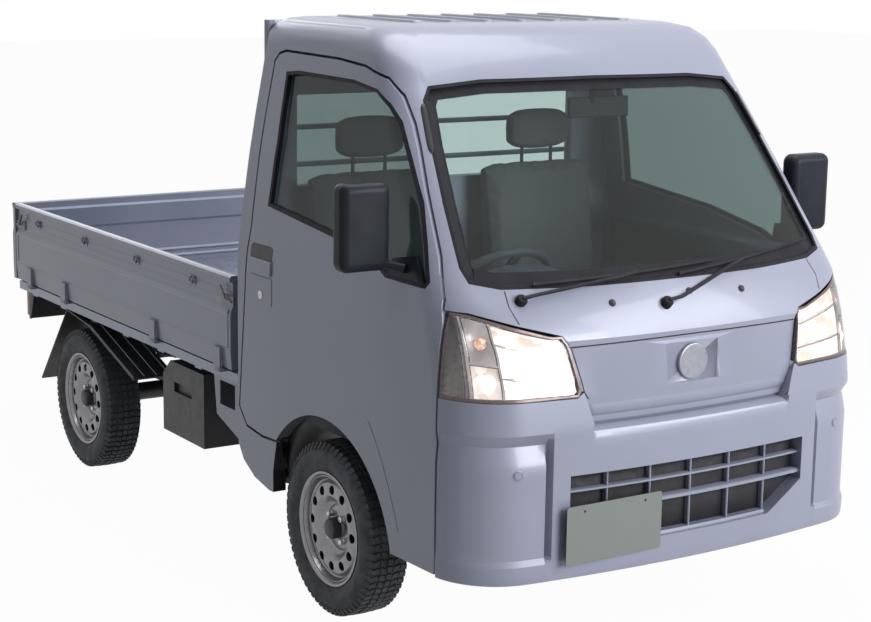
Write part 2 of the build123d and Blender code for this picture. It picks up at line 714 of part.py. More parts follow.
hub_bore = stub_radius + running_gap
rim_profile = [
    (-61.0, 155.0), (-61.0, flange_radius), (-bead_half, flange_radius), (-bead_half, barrel_radius),
    (bead_half, barrel_radius), (bead_half, flange_radius), (61.0, flange_radius), (61.0, 155.0),
    (30.0, 155.0), (44.0, 140.0), (49.0, 120.0), (44.0, 92.0), (38.0, 66.0), (38.0, 36.0),
    (60.0, 30.0), (60.0, 0.0), (25.0, 0.0), (25.0, hub_bore), (-20.0, hub_bore), (-20.0, drum_radius),
    (28.0, drum_radius), (30.0, 66.0), (38.0, 92.0), (43.0, 120.0), (39.0, 136.0), (24.0, 150.0),
    (24.0, 155.0),
]
with BuildPart() as rim_shape:
    with BuildSketch():
        with BuildLine():
            Polyline(*rim_profile, close=True)
        make_face()
    revolve(axis=Axis.X)
    with BuildSketch(Plane.YZ.offset(36.0)):
        with PolarLocations(rim_hole_ring, rim_hole_count):
            Circle(rim_hole_radius)
    extrude(amount=30.0, mode=Mode.SUBTRACT)

wheel_places = [
    # name, side, y of the axle
    ("front_left", 1, front_axle_y),
    ("front_right", -1, front_axle_y),
    ("rear_left", 1, rear_axle_y),
    ("rear_right", -1, rear_axle_y),
]
wheel_parts = {}
for name, side, axle_y in wheel_places:
    place = Pos(side * track_half, axle_y, axle_z) * Rot(0, 0, 0 if side > 0 else 180)
    with BuildPart() as tyre:
        add(place * tyre_shape.part)
    with BuildPart() as rim:
        add(place * rim_shape.part)
    wheel_parts["tyre_" + name] = tyre.part
    wheel_parts["rim_" + name] = rim.part

# ---- bed ------------------------------------------------------------------
gate_inner_x = body_half_width - gate_thickness
bed_half = gate_inner_x - gate_gap
tailgate_front_y = rear_y - gate_thickness
bed_rear_y = tailgate_front_y - gate_gap
bed_front_y = headboard_y
bar_places = [-230.0, 60.0, 360.0, 660.0, 960.0, 1260.0, 1560.0]
bed_bar_width = 50.0
tie_hole_radius = 5.5
tie_x = 500.0
tie_y = 600.0
tie_middle_y = 510.0
axis_x = body_half_width + gate_axis_out
axis_y = rear_y + gate_axis_out
lug_offset = gate_sleeve / 2 + pin_gap
with BuildPart() as bed_floor:
    block(-bed_half, bed_half, bed_front_y, bed_rear_y, bed_floor_top - bed_floor_thickness, bed_floor_top)
    rail_top = rail_rear_z + rail_height
    for y in bar_places:
        block(-bed_half, bed_half, y - bed_bar_width / 2, y + bed_bar_width / 2, rail_top, bed_floor_top - bed_floor_thickness)
    for x0 in (-bed_half - 26.0, bed_half - 14.0):
        block(x0, x0 + 40.0, bed_front_y, bed_rear_y, bed_rail_z, gate_axis_z)
    for x0 in (-bed_half, bed_half - 14.0):
        block(x0, x0 + 14.0, bed_front_y, bed_rear_y, bed_rail_z, bed_floor_top)
    block(-bed_half, bed_half, bed_rear_y - 30.0, bed_rear_y, bed_rail_z, bed_floor_top)
    with Locations((0, tie_middle_y, bed_floor_top)):
        with GridLocations(2 * tie_x, 2 * tie_y, 2, 2):
            Hole(tie_hole_radius, depth=40.0)
    for side in (-1, 1):
        for y in side_hinge_y:
            for y0 in (y - lug_offset - gate_lug, y + lug_offset):
                with BuildSketch(Plane.XZ.offset(-(y0 + gate_lug))):
                    with Locations((side * axis_x, gate_axis_z)):
                        Circle(gate_lug_radius)
                        Rectangle(axis_x - 720.0, gate_lug_radius,
                                  align=(Align.MIN if side < 0 else Align.MAX, Align.MAX))
                extrude(amount=gate_lug)
            with BuildSketch(Plane.XZ.offset(-(y + lug_offset))):
                with Locations((side * axis_x, gate_axis_z)):
                    Circle(gate_pin_radius)
            extrude(amount=2 * lug_offset)
    for x in tail_hinge_x:
        for x0 in (x - lug_offset - gate_lug, x + lug_offset):
            with BuildSketch(Plane.YZ.offset(x0)):
                with Locations((axis_y, gate_axis_z)):
                    Circle(gate_lug_radius)
                    Rectangle(axis_y - bed_rear_y + 5.0, gate_lug_radius, align=(Align.MAX, Align.MAX))
            extrude(amount=gate_lug)
        with BuildSketch(Plane.YZ.offset(x - lug_offset)):
            with Locations((axis_y, gate_axis_z)):
                Circle(gate_pin_radius)
        extrude(amount=2 * lug_offset)

with BuildPart() as bed_headboard:
    block(-bed_half, bed_half, headboard_y, headboard_y + headboard_thickness, bed_floor_top, gate_top_z)

post_x = 600.0
post_radius = 17.0
guard_top_z = 1762.0
guard_y = headboard_y + headboard_thickness / 2
with BuildPart() as guard_frame:
    for side in (-1, 1):
        with BuildSketch(Plane.XY.offset(gate_top_z)):
            with Locations((side * post_x, guard_y)):
                Circle(post_radius)
        extrude(amount=guard_top_z - gate_top_z)
    for z in (1180.0, 1300.0, 1420.0, 1540.0, guard_top_z - post_radius):
        with BuildSketch(Plane.YZ.offset(-post_x)):
            with Locations((guard_y, z)):
                Circle(post_radius if z > 1600 else 9.0)
        extrude(amount=2 * post_x)

gate_profile = [
    # distance out from the inner face, z
    (0.0, gate_low_z), (26.0, gate_low_z), (gate_thickness, 700.0), (gate_thickness, 824.0),
    (20.0, 850.0), (20.0, 925.0), (26.0, 930.0), (26.0, gate_top_z), (0.0, gate_top_z),
]
with BuildPart() as side_gate_left:
    with BuildSketch(Plane.XZ.offset(-bed_rear_y)):
        with BuildLine():
            Polyline(*[(gate_inner_x + out, z) for out, z in gate_profile], close=True)
        make_face()
    extrude(amount=bed_rear_y - gate_front_y - gate_gap)
    for y in side_hinge_y:
        with BuildSketch(Plane.XZ.offset(-(y + gate_sleeve / 2))):
            with Locations((axis_x, gate_axis_z)):
                Circle(gate_sleeve_radius)
                Rectangle(hinge_strap, 72.0, align=(Align.CENTER, Align.MIN))
                Circle(gate_pin_radius + running_gap, mode=Mode.SUBTRACT)
        extrude(amount=gate_sleeve)
with BuildPart() as side_gate_right:
    mirror(side_gate_left.part, about=Plane.YZ)
with BuildPart() as tailgate:
    with BuildSketch(Plane.YZ.offset(-body_half_width)):
        with BuildLine():
            Polyline(*[(tailgate_front_y + out, z) for out, z in gate_profile], close=True)
        make_face()
    extrude(amount=2 * body_half_width)
    for x in tail_hinge_x:
        with BuildSketch(Plane.YZ.offset(x - gate_sleeve / 2)):
            with Locations((axis_y, gate_axis_z)):
                Circle(gate_sleeve_radius)
                Rectangle(hinge_strap, 72.0, align=(Align.CENTER, Align.MIN))
                Circle(gate_pin_radius + running_gap, mode=Mode.SUBTRACT)
        extrude(amount=gate_sleeve)

# ---- mirrors --------------------------------------------------------------
mirror_x = 822.0
mirror_y = -1222.0
mirror_z = 1245.0
mirror_wide = 155.0
mirror_deep = 72.0
mirror_tall = 245.0
mirror_corner = 26.0
arm_radius = 13.0
arm_foot = (722.0, -1290.0, 1132.0)
sail_outline = [(-1384.0, 1098.0), (-1200.0, 1098.0), (-1215.0, 1150.0), (-1330.0, 1172.0)]
sail_set_back = 2.0
sail_layer = hollow(cab_block(upper_levels, sail_set_back), glass_outer)
with BuildPart() as sail:
    add(sail_layer)
    add(side_prism(sail_outline, 0.0, 600.0, 800.0), mode=Mode.INTERSECT)
with BuildPart() as mirror_arm:
    arm_start = (mirror_x - 30.0, mirror_y, mirror_z - mirror_tall / 2 + 25.0)
    with BuildLine():
        Line(arm_start, arm_foot)
    with BuildSketch(Plane(origin=arm_start, z_dir=Vector(*arm_foot) - Vector(*arm_start))):
        Circle(arm_radius)
    sweep()
with BuildPart() as mirror_left:
    with Locations((mirror_x, mirror_y, mirror_z)):
        Box(mirror_wide, mirror_deep, mirror_tall)
    fillet(mirror_left.edges(), radius=mirror_corner)
    add(mirror_arm.part)
    add(sail.part)
    add(glass_outer, mode=Mode.SUBTRACT)
with BuildPart() as mirror_right:
    mirror(mirror_left.part, about=Plane.YZ)

# ---- radiator between the grille and the cab floor -------------------------
radiator_half = 225.0
radiator_y = -1643.0
radiator_rib = 5.0
with BuildPart() as radiator:
    block(-radiator_half, radiator_half, radiator_y + radiator_rib, floor_front_y, 372.0, 640.0)
    for x in (-radiator_half, -radiator_rib, radiator_half - 2 * radiator_rib):
        block(x, x + 2 * radiator_rib, radiator_y, radiator_y + radiator_rib, 372.0, 640.0)

# ---- battery box, tank, side brackets -------------------------------------
box_outer_x = 690.0
box_profile = [(35.0, 301.0), (361.0, 301.0), (361.0, 505.0), (300.0, 560.0), (35.0, 560.0)]
with BuildPart() as battery_box:
    with BuildSketch(Plane.YZ.offset(-box_outer_x)):
        with BuildLine():
            Polyline(*box_profile, close=True)
        make_face()
    extrude(amount=210.0)
    block(-520.0, -rail_outer_x, 80.0, 120.0, rail_rear_z + 10.0, 550.0)
    block(-520.0, -rail_outer_x, 270.0, 310.0, rail_rear_z + 10.0, 550.0)
    block(-box_outer_x - 2.0, -box_outer_x + 12.0, 130.0, 270.0, 455.0, 490.0, mode=Mode.SUBTRACT)
with BuildPart() as fuel_tank:
    block(430.0, 680.0, -60.0, 430.0, 300.0, 520.0)
    fillet(fuel_tank.edges(), radius=25.0)
    for y in (60.0, 320.0):
        block(rail_outer_x, 470.0, y - 20.0, y + 20.0, rail_rear_z, 515.0)

skirt_outline = [(-290.0, bed_rail_z), (-78.0, bed_rail_z), (-98.0, 459.0), (-258.0, 407.0)]
skirt_hole = [(-232.0, 498.0), (-122.0, 498.0), (-122.0, 580.0), (-232.0, 580.0)]
skirt_x = 705.0
skirt_thickness = 4.0
with BuildPart() as side_skirts:
    for side in (-1, 1):
        with BuildSketch(Plane.YZ.offset(side * skirt_x - skirt_thickness / 2)):
            with BuildLine():
                Polyline(*skirt_outline, close=True)
            make_face()
            with BuildLine():
                Polyline(*skirt_hole, close=True)
            make_face(mode=Mode.SUBTRACT)
        extrude(amount=skirt_thickness)

# ---- mudguards over the rear wheels ---------------------------------------
guard_inner = 560.0
guard_outer = 722.0
guard_wall = 5.0
guard_profile = [
    (544.0, 445.0), (963.0, 574.0), (1168.0, 597.0), (1453.0, 269.0), (1448.0, 265.0),
    (1166.0, 597.0 - guard_wall), (963.0, 574.0 - guard_wall), (546.0, 445.0 - guard_wall),
]
with BuildPart() as mudguards:
    for side in (-1, 1):
        with BuildSketch(Plane.YZ.offset(-guard_outer if side < 0 else guard_inner)):
            with BuildLine():
                Polyline(*guard_profile, close=True)
            make_face()
        extrude(amount=guard_outer - guard_inner)
        x0, x1 = sorted((side * 600.0, side * 650.0))
        block(x0, x1, 945.0, 975.0, 568.0, rail_rear_z + rail_height)

# ---- spare wheel under the bed --------------------------------------------
spare_y = 1385.0
spare_low_z = 325.0
with BuildPart() as spare_wheel:
    add(Pos(0, spare_y, spare_low_z + tyre_width / 2 + 0.1) * Rot(0, 90, 0) * tyre_shape.part)
    with BuildSketch(Plane.XY.offset(spare_low_z + 30.0)):
        with Locations((0, spare_y)):
            Circle(barrel_radius)
    extrude(amount=70.0)
carrier_plate = 12.0
with BuildPart() as spare_carrier:
    block(-rail_inner_x, rail_inner_x, spare_y - 20, spare_y + 20, spare_low_z - carrier_plate, spare_low_z)
    for side in (-1, 1):
        x0, x1 = sorted((side * (rail_inner_x - carrier_plate), side * rail_inner_x))
        block(x0, x1, spare_y - 20.0, spare_y + 20.0, spare_low_z, rail_rear_z + 40.0)

# ---- exhaust --------------------------------------------------------------
exhaust_x = 520.0
muffler_y = 1385.0
muffler_length = 225.0
muffler_z = 430.0
with BuildPart() as exhaust:
    with BuildSketch(Plane.XZ.offset(-muffler_y)):
        with Locations((exhaust_x, muffler_z)):
            Ellipse(85.0, 60.0)
    extrude(amount=-muffler_length)
    with BuildSketch(Plane.XZ.offset(-(muffler_y + muffler_length))):
        with Locations((exhaust_x, muffler_z - 10.0)):
            Circle(19.0)
    extrude(amount=-70.0)
    block(rail_outer_x, exhaust_x, muffler_y + 110.0, muffler_y + 130.0, rail_rear_z + 5.0, rail_rear_z + 11.0)
    block(exhaust_x - 6.0, exhaust_x, muffler_y + 110.0, muffler_y + 130.0, muffler_z + 40.0, rail_rear_z + 11.0)

# ---- rear bumper, tail lamps and plates -----------------------------------
plate_half = 165.0
plate_tall = 165.0
plate_thickness = 2.0
plate_hole_radius = 3.5
plate_hole_half = 105.0
front_plate_x = -288.0
front_plate_low_z = 352.0
rear_plate_low_z = 432.0
rear_bar_y = 1600.0
lamp_y = 1650.0
lamp_low_z = 485.0
lamp_top_z = 590.0
lamp_inner_x = 470.0
lamp_outer_x = 690.0
lamp_depth = 32.0
with BuildPart() as rear_bumper:
    block(-lamp_outer_x, lamp_outer_x, lamp_y - 6.0, lamp_y, lamp_low_z - 12.0, bed_rail_z)
    for side in (-1, 1):
        with BuildSketch(Plane.YZ.offset(side * lamp_outer_x - 2.0)):
            with BuildLine():
                Polyline((rear_bar_y - 10.0, bed_rail_z), (lamp_y, bed_rail_z), (lamp_y, lamp_low_z - 12.0),
                         (rear_bar_y + 35.0, lamp_low_z - 12.0), close=True)
            make_face()
        extrude(amount=4.0)
    block(-190.0, 190.0, lamp_y, lamp_y + 3.0, 470.0, 598.0)
    with BuildSketch(Plane.XZ.offset(-(lamp_y + 4.0))):
        with Locations((-plate_hole_half, rear_plate_low_z + plate_tall - 18.0),
                       (plate_hole_half, rear_plate_low_z + plate_tall - 18.0)):
            Circle(plate_hole_radius)
    extrude(amount=12.0, mode=Mode.SUBTRACT)
with BuildPart() as tail_lamps:
    for side in (-1, 1):
        x0, x1 = sorted((side * lamp_inner_x, side * lamp_outer_x))
        block(x0, x1, lamp_y, lamp_y + lamp_depth, lamp_low_z, lamp_top_z)
    fillet(tail_lamps.edges().group_by(Axis.Y)[-1], radius=8.0)

with BuildPart() as licence_plates:
    for x in (front_plate_x - plate_hole_half, front_plate_x + plate_hole_half):
        block(x - 15.0, x + 15.0, front_y, -1650.0, front_plate_low_z, lip_top_z + 15.0)
    add(bumper.part, mode=Mode.SUBTRACT)
    with BuildSketch(Plane.XZ.offset(-front_y)):
        with Locations((front_plate_x, front_plate_low_z + plate_tall / 2)):
            RectangleRounded(2 * plate_half, plate_tall, 8.0)
        with Locations((front_plate_x - plate_hole_half, front_plate_low_z + plate_tall - 18.0),
                       (front_plate_x + plate_hole_half, front_plate_low_z + plate_tall - 18.0)):
            Circle(plate_hole_radius, mode=Mode.SUBTRACT)
    extrude(amount=plate_thickness)
    with BuildSketch(Plane.XZ.offset(-(lamp_y + 3.0 + plate_thickness))):
        with Locations((0, rear_plate_low_z + plate_tall / 2)):
            RectangleRounded(2 * plate_half, plate_tall, 8.0)
        with Locations((-plate_hole_half, rear_plate_low_z + plate_tall - 18.0),
                       (plate_hole_half, rear_plate_low_z + plate_tall - 18.0)):
            Circle(plate_hole_radius, mode=Mode.SUBTRACT)
    extrude(amount=plate_thickness)

finished = {
    "cab_body": cab_body.part, "roof": roof.part, "front_panel": front_panel.part,
    "bumper": bumper.part, "grille": grille.part, "headlights": headlights.part,
    "front_ornament": ornament.part, "windscreen": windscreen.part, "rear_window": rear_window.part,
    "door_left": door_left.part, "door_right": door_right.part,
    "door_glass_left": door_glass_left.part, "door_glass_right": door_glass_right.part,
    "cab_floor": cab_floor.part, "dashboard": dashboard.part, "steering_wheel": steering_wheel.part,
    "seats": seats.part, "frame": frame.part, "rear_axle": rear_axle.part,
    "leaf_springs": leaf_springs.part, "engine": engine.part, "prop_shaft": prop_shaft.part,
    "front_suspension": front_suspension.part, "knuckle_left": knuckle_left.part,
    "knuckle_right": knuckle_right.part, "bed_floor": bed_floor.part,
    "bed_headboard": bed_headboard.part, "guard_frame": guard_frame.part,
    "side_gate_left": side_gate_left.part, "side_gate_right": side_gate_right.part,
    "tailgate": tailgate.part, "mirror_left": mirror_left.part, "mirror_right": mirror_right.part,
    "radiator": radiator.part, "battery_box": battery_box.part, "fuel_tank": fuel_tank.part,
    "side_skirts": side_skirts.part, "mudguards": mudguards.part, "spare_wheel": spare_wheel.part,
    "spare_carrier": spare_carrier.part,
    "exhaust": exhaust.part, "rear_bumper": rear_bumper.part, "tail_lamps": tail_lamps.part,
    "licence_plates": licence_plates.part,
    **wheel_parts,
}
os.makedirs("parts", exist_ok=True)
for name, solid in finished.items():
    solid.label = name
    export_step(solid, "parts/" + name + ".step")
    print(name, len(solid.solids()), round(solid.volume / 1e6, 2))
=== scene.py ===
"""Looks of a small cab-over pickup truck with a drop-side bed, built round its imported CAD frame."""

import logging
import math
from dataclasses import dataclass, field
from enum import Enum
from typing import Callable, Iterable, Sequence

import bmesh
import bpy
import numpy as np
from mathutils import Matrix, Vector


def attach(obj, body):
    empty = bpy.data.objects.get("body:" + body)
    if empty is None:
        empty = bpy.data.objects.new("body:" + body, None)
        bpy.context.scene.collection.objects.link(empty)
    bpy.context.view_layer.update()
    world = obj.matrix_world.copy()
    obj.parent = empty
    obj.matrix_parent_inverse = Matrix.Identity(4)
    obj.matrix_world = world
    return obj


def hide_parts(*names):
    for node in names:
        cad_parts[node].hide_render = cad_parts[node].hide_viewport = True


Point = tuple[float, float, float]
Colour = tuple[float, float, float, float]
Outline = Sequence[tuple[float, float]]
Surface = Callable[[float, float, float], Point]
SIDES = ((1, "left"), (-1, "right"))
MM = 0.001
MERGE = 0.00002
PROBE = 4.0
CORNER_X = 700.0
FRONT_AXLE = (-856, 268)
log = logging.getLogger("truck")
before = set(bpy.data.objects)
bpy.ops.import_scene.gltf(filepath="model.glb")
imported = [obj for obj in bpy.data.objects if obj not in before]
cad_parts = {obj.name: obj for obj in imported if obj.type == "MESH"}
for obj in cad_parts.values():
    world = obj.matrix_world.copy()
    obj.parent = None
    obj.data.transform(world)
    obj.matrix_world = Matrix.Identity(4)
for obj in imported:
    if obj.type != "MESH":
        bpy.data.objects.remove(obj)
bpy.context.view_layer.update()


# ---- the cab's plan sections ------------------------------------------------
LOWER = [
    (306, 734, -1697.5, 560, 40), (725, 735, -1697.5, 560, 40),
    (850, 735, -1684, 560, 42), (935, 735, -1668, 560, 46),
    (1000, 735, -1645, 575, 55), (1050, 733, -1618, 600, 70),
    (1090, 727, -1590, 620, 85),
]
UPPER = [
    (1200, 713, -1505, 610, 84), (1350, 691, -1389, 588, 76),
    (1480, 668, -1287, 567, 69), (1613, 642, -1183, 545, 62),
    (1690, 628, -1123, 532, 60),
]
ROOF = [
    (1728, 618, -1080, 520, 58), (1756, 590, -1030, 500, 56),
    (1770, 545, -960, 460, 52), (1774, 490, -880, 410, 48),
]
TROUGH = [
    (690, 735, -1657.5, 560, 40), (728, 735, -1657.5, 560, 40),
    (803, 735, -1675, 560, 41), (935, 735, -1656, 560, 46),
    (961, 735, -1659, 566, 50),
]
SCREEN = [
    (0, 1092), (330, 1091), (560, 1095), (640, 1112), (648, 1150),
    (628, 1306), (602, 1460), (576, 1575), (548, 1612), (384, 1628),
    (0, 1632),
]
WINDOW = [
    (-465, 1613), (-541, 1621), (-872, 1616), (-1012, 1598), (-1082, 1562),
    (-1136, 1518), (-1215, 1416), (-1295, 1311), (-1355, 1207),
    (-1405, 1110), (-1394, 1092), (-1190, 1092), (-1150, 1112),
    (-901, 1160), (-473, 1202), (-477, 1405),
]


class Skin:
    """A body surface given by plan sections from low to high."""

    def __init__(self, rows: Sequence[Sequence[float]]) -> None:
        """Keep the table of sections.

        Args:
            rows: z, half width, front y, x where the corner begins and bow, in millimetres.
        """
        self.rows = np.array(rows, dtype=float)

    def straight(self, z: np.ndarray) -> np.ndarray:
        """Return the section sizes at heights z, joined by straight lines.

        Args:
            z: Heights in millimetres.

        Returns:
            One row of half width, front y, corner x and bow per height.
        """
        return np.stack([np.interp(z, self.rows[:, 0], self.rows[:, k]) for k in range(1, 5)], -1)

    def smooth(self, z: np.ndarray) -> np.ndarray:
        """Return the section sizes at heights z, joined by a smooth curve.

        Args:
            z: Heights in millimetres.

        Returns:
            One row of half width, front y, corner x and bow per height.
        """
        zs, values = self.rows[:, 0], self.rows[:, 1:]
        step = np.diff(zs)[:, None]
        slope = np.diff(values, axis=0) / step
        inner = (step[1:] * slope[:-1] + step[:-1] * slope[1:]) / (step[1:] + step[:-1])
        tangent = np.vstack([slope[:1], inner, slope[-1:]])
        i = np.clip(np.searchsorted(zs, z) - 1, 0, len(zs) - 2)
        t = np.clip((z - zs[i]) / step[i, 0], 0.0, 1.0)[:, None]
        h = step[i]
        return (
            (2 * t**3 - 3 * t**2 + 1) * values[i] + (t**3 - 2 * t**2 + t) * h * tangent[i]
            + (3 * t**2 - 2 * t**3) * values[i + 1] + (t**3 - t**2) * h * tangent[i + 1]
        )

    @staticmethod
    def outside(x: np.ndarray, y: np.ndarray, sizes: np.ndarray) -> np.ndarray:
        """Return how far points lie outside the plan section, in millimetres.

        Args:
            x: Points' x in millimetres.
            y: Points' y in millimetres.
            sizes: Section sizes, one row per point.

        Returns:
            Signed distances, negative inside.
        """
        half, front, turn, bow = sizes.T
        x = np.abs(x)
        radius = (turn**2 + bow**2) / (2 * bow)
        s = turn / radius
        c = np.sqrt(1 - s * s)
        corner = (half - turn) / (1 - s)
        cx, cy = half - corner, front + bow + corner * c
        dx, dy = x - cx, y - cy
        side = x - half
        rounded = np.hypot(dx, dy) - corner
        nose = np.hypot(x, y - front - radius) - radius
        in_front = (dx * c + dy * s) < 0
        return np.where(in_front & (y < front + radius), nose, np.where((dy < 0) & (dx > 0), rounded, side))

    def normals(self, p: np.ndarray) -> np.ndarray:
        """Return smooth outward normals at points near the surface.

        Args:
            p: Points in millimetres, one row each.

        Returns:
            Unit normals, one row each.
        """
        result = []
        for axis in range(3):
            step = np.zeros(3)
            step[axis] = PROBE
            ahead, behind = [self.outside(q[:, 0], q[:, 1], self.smooth(q[:, 2])) for q in (p + step, p - step)]
            result.append(ahead - behind)
        n = np.stack(result, -1)
        return n / np.maximum(np.linalg.norm(n, axis=1, keepdims=True), 1e-9)

    def front(self, x: float, z: float, inset: float = 0.0) -> Point:
        """Return the point of the front at x, z, moved inwards by inset.

        Args:
            x: Place across in millimetres.
            z: Height in millimetres.
            inset: Depth below the surface in millimetres.

        Returns:
            The point in millimetres.
        """
        half, front, turn, bow = self.straight(np.array([z]))[0]
        low, high = front - 5.0, front + 900.0
        sizes = np.array([[half, front, turn, bow]])
        for _ in range(28):
            middle = (low + high) / 2
            if self.outside(np.array([x]), np.array([middle]), sizes)[0] > -inset:
                low = middle
            else:
                high = middle
        return (x, high, z)

    def flank(self, y: float, z: float, side: int, inset: float = 0.0) -> Point:
        """Return the point of one side at y, z, moved inwards by inset.

        Args:
            y: Place along in millimetres.
            z: Height in millimetres.
            side: 1 for the left and -1 for the right.
            inset: Depth below the surface in millimetres.

        Returns:
            The point in millimetres.
        """
        sizes = self.straight(np.array([z]))
        low, high = 200.0, 800.0
        for _ in range(26):
            middle = (low + high) / 2
            if self.outside(np.array([middle]), np.array([y]), sizes)[0] < -inset:
                low = middle
            else:
                high = middle
        return (side * low, y, z)

    def below(self, point: Point, depth: float) -> Point:
        """Return a surface point moved inwards along its normal.

        Args:
            point: The surface point in millimetres.
            depth: How far it moves in millimetres.

        Returns:
            The moved point in millimetres.
        """
        p = np.array(point)
        return tuple(p - self.normals(p[None])[0] * depth)

    def round_corner(self, share: float, z: float, rear_y: float, depth: float) -> Point:
        """Return a point of the left flank between the front corner and a rear line.

        Args:
            share: 0 at the corner and 1 at the rear line.
            z: Height in millimetres.
            rear_y: Place of the rear line.
            depth: Depth below the surface in millimetres.

        Returns:
            The point in millimetres.
        """
        corner = self.front(CORNER_X, z)[1]
        return self.below(self.flank(corner + (rear_y - corner) * share, z, 1), depth)


CAB = Skin(LOWER + UPPER + ROOF)
NOSE_TROUGH = Skin(TROUGH)


# ---- materials ---------------------------------------------------------------
class Nodes:
    """A short way to build a node tree."""

    def __init__(self, name: str) -> None:
        """Start a material with a Principled shader.

        Args:
            name: The material's name.
        """
        self.material = bpy.data.materials.new(name)
        self.material.use_nodes = True
        self.tree = self.material.node_tree
        self.shader = self.tree.nodes["Principled BSDF"]
        self.place = self.tree.nodes.new("ShaderNodeTexCoord").outputs["Object"]

    def add(self, kind: str, settings: dict[str, object] | None = None, **inputs: object) -> bpy.types.Node:
        """Add a node, set its properties and fill or link its inputs.

        Args:
            kind: The node's type without the ShaderNode prefix.
            settings: Properties of the node itself.
            **inputs: Socket values or sockets to link, by name with underscores for spaces.

        Returns:
            The new node.
        """
        node = self.tree.nodes.new("ShaderNode" + kind)
        for key, value in (settings or {}).items():
            setattr(node, key, value)
        for key, value in inputs.items():
            name = key.replace("_", " ")
            socket = node.inputs[int(key[1:])] if key[0] == "n" and key[1:].isdigit() else node.inputs[name]
            if isinstance(value, bpy.types.NodeSocket):
                self.tree.links.new(value, socket)
            else:
                socket.default_value = value
        return node

    def link(self, source: bpy.types.NodeSocket, name: str) -> None:
        """Link a socket to the shader's input of that name."""
        self.tree.links.new(source, self.shader.inputs[name])

    def noise(self, scale: float, detail: float = 3.0) -> bpy.types.NodeSocket:
        """Return noise over the object's own place.

        Args:
            scale: Cells per metre.
            detail: Octaves.

        Returns:
            The factor output.
        """
        return self.add("TexNoise", Vector=self.place, Scale=scale, Detail=detail).outputs[0]

    def mix(self, factor: bpy.types.NodeSocket, a: Colour, b: Colour) -> bpy.types.NodeSocket:
        """Return a colour between a and b by factor."""
        return self.add("Mix", {"data_type": "RGBA"}, n0=factor, n6=a, n7=b).outputs[2]

    def spread(self, factor: bpy.types.NodeSocket, low: float, high: float) -> bpy.types.NodeSocket:
        """Return factor mapped from 0.3 to 0.7 onto low to high."""
        return self.add("MapRange", Value=factor, From_Min=0.3, From_Max=0.7, To_Min=low, To_Max=high).outputs[0]

    def bump(self, height: bpy.types.NodeSocket, depth: float, strength: float = 1.0) -> None:
        """Give the shader a bump of that depth in metres."""
        self.link(self.add("Bump", Height=height, Distance=depth, Strength=strength).outputs[0], "Normal")

    def set(self, **values: object) -> None:
        """Set uniform values on the shader's own sockets."""
        for key, value in values.items():
            self.shader.inputs[key.replace("_", " ")].default_value = value


def tint(r: float, g: float, b: float) -> Colour:
    """Return an opaque linear colour."""
    return (r, g, b, 1)


@dataclass(frozen=True)
class Paint:
    """Metallic body paint with a clear coat."""

    name: str = "silver_paint"
    base: Colour = tint(0.238, 0.254, 0.33)
    deep: Colour = tint(0.216, 0.23, 0.302)
    metallic: float = 0.12
    roughness: float = 0.36
    coat: float = 0.2

    def material(self) -> bpy.types.Material:
        """Return the paint with fine flakes and a faint orange peel."""
        n = Nodes(self.name)
        cloud = n.noise(2.3, 4.0)
        n.link(n.mix(n.spread(cloud, 0.0, 1.0), self.base, self.deep), "Base Color")
        flake = n.noise(900.0, 1.0)
        n.link(n.spread(flake, self.roughness - 0.05, self.roughness + 0.06), "Roughness")
        n.bump(flake, 0.00004, 0.35)
        n.set(Metallic=self.metallic, Coat_Weight=self.coat, Coat_Roughness=0.06, Specular_IOR_Level=0.35)
        return n.material


@dataclass(frozen=True)
class Plastic:
    """Moulded plastic with a grain."""

    name: str
    base: Colour
    roughness: float = 0.5
    grain: float = 700.0
    depth: float = 0.00012
    shine: float = 0.3

    def material(self) -> bpy.types.Material:
        """Return grained plastic with slightly worn, paler patches."""
        n = Nodes(self.name)
        paler = tuple(min(1.0, c * 1.5 + 0.004) for c in self.base[:3]) + (1,)
        n.link(n.mix(n.spread(n.noise(7.0), 0.0, 1.0), self.base, paler), "Base Color")
        cells = n.add("TexVoronoi", Vector=n.place, Scale=self.grain).outputs[0]
        n.bump(cells, self.depth, 0.5)
        n.link(n.spread(n.noise(30.0), self.roughness - 0.06, self.roughness + 0.08), "Roughness")
        n.set(Specular_IOR_Level=self.shine)
        return n.material


@dataclass(frozen=True)
class Metal:
    """Bare, painted or plated metal of the running gear."""

    name: str
    base: Colour
    metallic: float = 0.8
    roughness: float = 0.4
    dirt: Colour = tint(0.05, 0.045, 0.04)
    dirty: float = 0.3

    def material(self) -> bpy.types.Material:
        """Return metal with road dirt in cloudy patches."""
        n = Nodes(self.name)
        patch = n.spread(n.noise(14.0, 5.0), 0.0, self.dirty)
        n.link(n.mix(patch, self.base, self.dirt), "Base Color")
        n.link(n.spread(n.noise(60.0), self.roughness - 0.08, self.roughness + 0.1), "Roughness")
        n.bump(n.noise(420.0, 2.0), 0.00002, 0.2)
        n.set(Metallic=self.metallic)
        return n.material


@dataclass(frozen=True)
class Rubber:
    """Tyre and seal rubber."""

    name: str
    base: Colour = tint(0.022, 0.023, 0.025)
    dust: Colour = tint(0.082, 0.09, 0.104)
    roughness: float = 0.72
    shine: float = 0.4

    def material(self) -> bpy.types.Material:
        """Return dusty rubber."""
        n = Nodes(self.name)
        n.link(n.mix(n.spread(n.noise(18.0, 5.0), 0.0, 1.0), self.base, self.dust), "Base Color")
        n.bump(n.noise(260.0, 3.0), 0.0002, 0.4)
        n.link(n.spread(n.noise(40.0), self.roughness - 0.07, self.roughness + 0.1), "Roughness")
        n.set(Specular_IOR_Level=self.shine)
        return n.material


